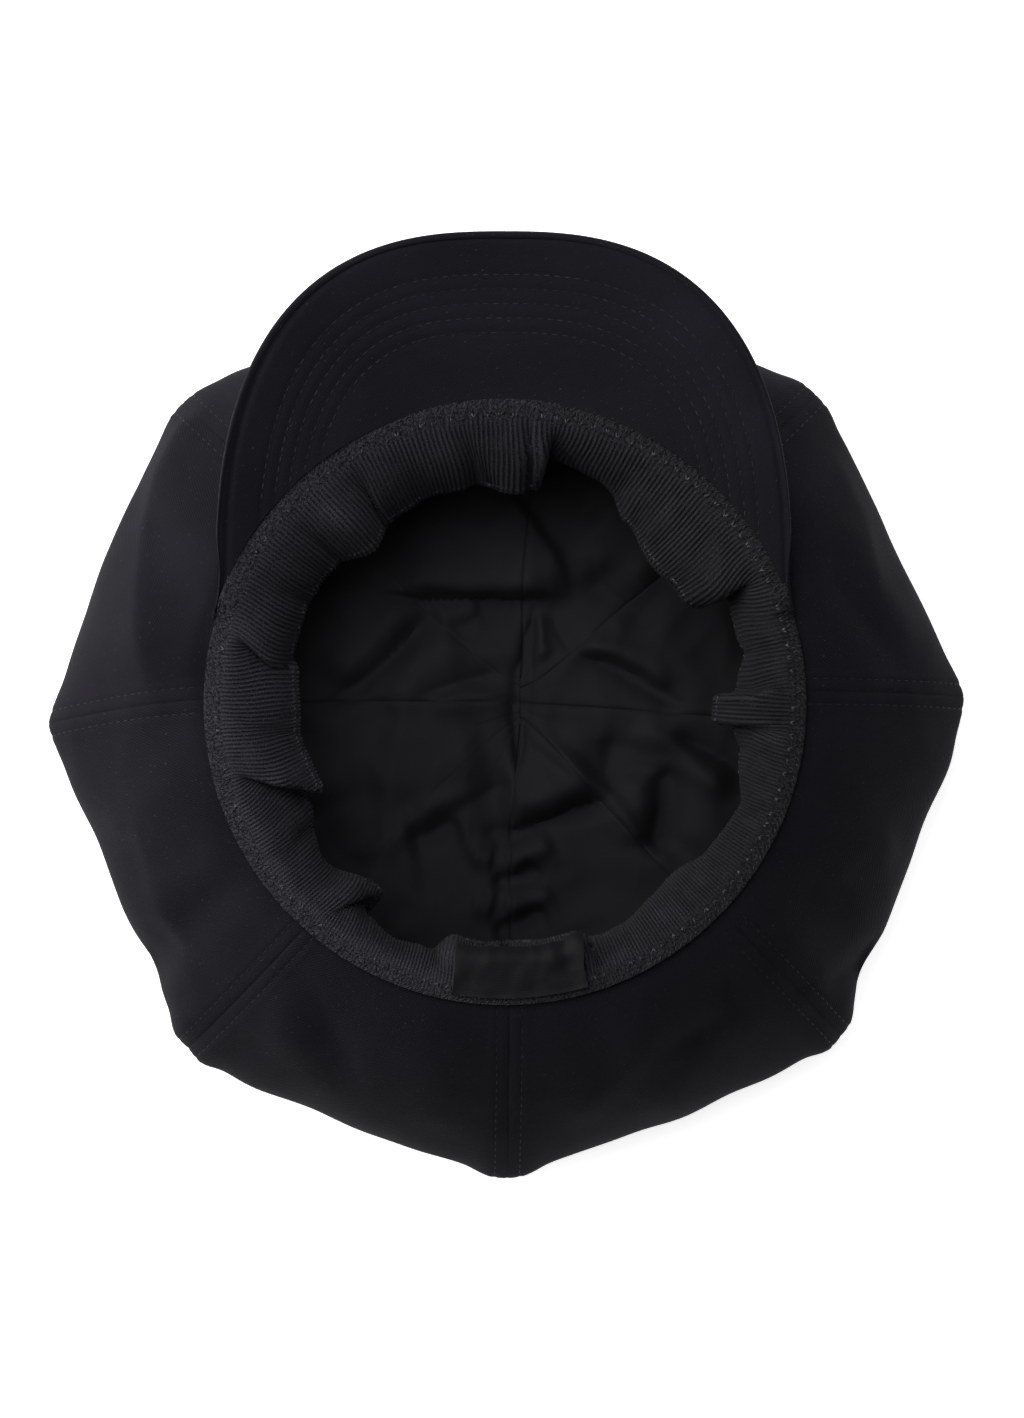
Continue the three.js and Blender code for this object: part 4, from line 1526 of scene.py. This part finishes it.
def elastic_tape():
    material, tree, shader = new_material("ribbed elastic tape")
    flat = add(tree, "ShaderNodeUVMap", uv_map=CLOTH_UV).outputs["UV"]
    yarn = add(tree, "ShaderNodeTexNoise", {"Vector": flat, "Scale": FLECKS_PER_MM, "Detail": 3.0,
                                             "Roughness": 0.7})
    # Painted glints: fine light speckles where single fibres would catch the light.
    glint_speck = add(tree, "ShaderNodeMapRange", {"Value": yarn.outputs["Fac"], "From Min": 0.52,
                                             "From Max": 0.7})
    # Painted shade: the grooves between the ribs are coloured darker than the ribs.
    ribs = add(tree, "ShaderNodeTexWave", {"Vector": flat, "Scale": wave_scale(BAND_LENGTH / RIBS),
                                           "Phase Offset": math.pi, "Distortion": 0.7, "Detail": 1.0},
               wave_type="BANDS", bands_direction="X")
    ribbed = add(tree, "ShaderNodeMix", {"Factor": ribs.outputs["Fac"], "A": colour("#080809"),
                                         "B": colour("#28272c")}, data_type="RGBA")
    loops = add(tree, "ShaderNodeTexNoise", {"Vector": flat, "Scale": 1 / LOOP_PITCH, "Detail": 1.0})
    pitted = add(tree, "ShaderNodeMapRange", {"Value": loops.outputs["Fac"], "From Min": 0.38,
                                              "From Max": 0.62})
    rough = add(tree, "ShaderNodeMix", {"Factor": pitted.outputs[0], "A": colour("#070708"),
                                        "B": colour("#242328")}, data_type="RGBA")
    across = add(tree, "ShaderNodeSeparateXYZ", {0: flat}).outputs["Y"]
    in_margin = add(tree, "ShaderNodeMapRange", {"Value": across, "From Min": MARGIN_WIDTH - 1.2,
                                                 "From Max": MARGIN_WIDTH, "To Min": 1.0, "To Max": 0.0})
    ground = add(tree, "ShaderNodeMix", {"Factor": in_margin.outputs[0], "A": ribbed.outputs[2],
                                         "B": rough.outputs[2]}, data_type="RGBA")
    tone = add(tree, "ShaderNodeMix", {"Factor": glint_speck.outputs[0], "A": ground.outputs[2],
                                       "B": colour("#46464d")}, data_type="RGBA")
    # Painted light: the tape is lighter on its left side and darker on its right.
    painted_light_tone = painted_light_gradient(tree, tone.outputs[2], (-1.0, 0.0, 0.0), -0.09, 0.09, 0.6, 1.7)
    relief = add(tree, "ShaderNodeBump", {"Height": yarn.outputs["Fac"], "Strength": 0.7,
                                          "Distance": 0.0002})
    finish(tree, shader, painted_light_tone, relief,
           {"Roughness": 0.62, "IOR": 1.5, "Specular IOR Level": 0.09, "Sheen Weight": 0.03,
            "Sheen Roughness": 0.4})
    return material


tape = elastic_tape()
dress(tape, sweatband)
print("tape on", sweatband.name)

# %% [markdown]
# The label is woven satin: long floating threads all one way give it a smooth, quiet face.

# %% Satin tape
SATIN_PITCH = 0.5


def satin_tape():
    material, tree, shader = new_material("plain satin tape")
    flat = add(tree, "ShaderNodeUVMap", uv_map=CLOTH_UV).outputs["UV"]
    threads = add(tree, "ShaderNodeTexWave",
                  {"Vector": flat, "Scale": wave_scale(SATIN_PITCH), "Distortion": 0.8, "Detail": 1.0},
                  wave_type="BANDS", bands_direction="Y")
    slub = add(tree, "ShaderNodeTexNoise", {"Vector": flat, "Scale": 0.5, "Detail": 3.0})
    tone = add(tree, "ShaderNodeMix", {"Factor": slub.outputs["Fac"], "A": colour("#09090b"),
                                       "B": colour("#111114")}, data_type="RGBA")
    relief = add(tree, "ShaderNodeBump", {"Height": threads.outputs["Fac"], "Strength": 0.3,
                                          "Distance": 0.0001})
    finish(tree, shader, tone.outputs[2], relief,
           {"Roughness": 0.55, "IOR": 1.5, "Specular IOR Level": 0.09, "Sheen Weight": 0.06})
    return material


satin = satin_tape()
dress(satin, label)
print("satin on", label.name)

# %% [markdown]
# The thread is twisted polyester, black like the cloth but glossier, so each stitch shows as a small
# dash, with lighter patches painted on as glints. On the crown it hardly shows, and on the sweatband it
# shows most.

# %% Polyester thread
TWIST_SCALE = 1400


def polyester_thread(dark, light, patch):
    """Thread between two colours, in patches of some millimetres. The lighter colour is a painted glint."""
    material, tree, shader = new_material("twisted polyester thread")
    place = add(tree, "ShaderNodeTexCoord").outputs["Object"]
    twist = add(tree, "ShaderNodeTexNoise", {"Vector": place, "Scale": TWIST_SCALE, "Detail": 1.0})
    worn = add(tree, "ShaderNodeTexNoise", {"Vector": place, "Scale": 1000 / patch, "Detail": 2.0})
    # Painted glints: patches of the thread turn to the lighter colour, standing for highlights.
    painted_glint_share = add(tree, "ShaderNodeMapRange", {"Value": worn.outputs["Fac"], "From Min": 0.4,
                                             "From Max": 0.66})
    tone = add(tree, "ShaderNodeMix", {"Factor": painted_glint_share.outputs[0], "A": colour(dark),
                                       "B": colour(light)}, data_type="RGBA")
    relief = add(tree, "ShaderNodeBump", {"Height": twist.outputs["Fac"], "Strength": 0.3,
                                          "Distance": 0.0001})
    finish(tree, shader, tone.outputs[2], relief,
           {"Roughness": 0.5, "IOR": 1.5, "Specular IOR Level": 0.22})
    return material


seam_thread = polyester_thread("#0c0c10", "#1c1b22", 7.0)
row_thread = polyester_thread("#0e0e12", "#2b2a32", 7.0)
tape_thread = polyester_thread("#151518", "#2f2f35", 3.0)
# The knots and border loops get a lighter thread colour as a painted highlight.
painted_glint_thread = polyester_thread("#17171a", "#5c5c65", 2.0)
dress(seam_thread, crown_stitches)
dress(row_thread, peak_stitches)
dress(tape_thread, band_stitches)
dress(painted_glint_thread, band_knot_stitches)
print("thread on four meshes")

# %% [markdown]
# ## Floor, light and camera
# The cap lies on a plain white floor that glows a little, so that its shadow hardly shows. A broad light
# low on the left draws the folds of the crown, one high up on the same side reaches into the opening, a
# weak one fills the right, and the pale surroundings soften all three. The camera hangs straight above.

# %% Floor
FLOOR_SIZE = 12.0
FLOOR_GLOW = 0.8


def make_floor():
    bpy.ops.object.select_all(action="DESELECT")
    bpy.ops.mesh.primitive_plane_add(size=FLOOR_SIZE)
    floor = bpy.context.object
    floor.name = "floor"
    material, tree, shader = new_material("white paper floor")
    place = add(tree, "ShaderNodeTexCoord").outputs["Object"]
    grain = add(tree, "ShaderNodeTexNoise", {"Vector": place, "Scale": 60.0, "Detail": 2.0})
    tone = add(tree, "ShaderNodeMix", {"Factor": grain.outputs["Fac"], "A": colour("#f4f4f4"),
                                       "B": colour("#f8f8f8")}, data_type="RGBA")
    finish(tree, shader, tone.outputs[2], None,
           {"Roughness": 0.9, "Specular IOR Level": 0.1, "Emission Color": colour("#ffffff"),
            "Emission Strength": FLOOR_GLOW})
    dress(material, floor)
    return floor


floor = make_floor()
print("floor:", FLOOR_SIZE, "m wide")

# %% Light
WORLD_STRENGTH = 0.105

# Place in metres, size in metres, watts and tint
LIGHT_COLUMNS = "name place size watts tint"
LIGHTS = [
    ("left light", (-1.5, 0.45, 0.6), 1.4, 27, "#fffdfa"),
    ("right light", (0.8, 1.0, 1.1), 1.2, 1.8, "#f4f7ff"),
    ("top light", (-0.42, 0.58, 1.6), 1.4, 20.5, "#ffffff"),
]


def make_light(name, place, size, watts, tint):
    bpy.ops.object.light_add(type="AREA", location=place)
    light = bpy.context.object
    light.name = name
    light.data.shape = "SQUARE"
    light.data.size = size
    light.data.energy = watts
    light.data.color = colour(tint)[:3]
    way = -light.location
    light.rotation_euler = way.to_track_quat("-Z", "Y").to_euler()
    return light


for light_row in named_rows(LIGHT_COLUMNS, LIGHTS):
    make_light(*light_row)
world = bpy.data.worlds.new("studio")
world.use_nodes = True
world.node_tree.nodes["Background"].inputs["Color"].default_value = colour("#ffffff")
world.node_tree.nodes["Background"].inputs["Strength"].default_value = WORLD_STRENGTH
scene = bpy.context.scene
scene.world = world
scene.view_settings.view_transform = "Standard"
print("lights:", len(LIGHTS))

# %% Camera
CAMERA_HEIGHT = 1.368
CAMERA_SHIFT_X = 1.6
CAMERA_SHIFT_Y = -2.9
PICTURE_HEIGHT = 1418
FOCAL_PIXELS = 4170.7
SENSOR = 36


def make_camera():
    place = (CROWN_CENTRE + np.array([CAMERA_SHIFT_X, CAMERA_SHIFT_Y, 0])) / 1000
    bpy.ops.object.camera_add(location=(place[0], place[1], CAMERA_HEIGHT), rotation=(0, 0, 0))
    camera = bpy.context.object
    camera.data.sensor_width = SENSOR
    camera.data.lens = SENSOR * FOCAL_PIXELS / PICTURE_HEIGHT
    camera.data.clip_end = 20
    scene.camera = camera
    return camera


camera = make_camera()
print("lens in millimetres:", round(camera.data.lens, 1))
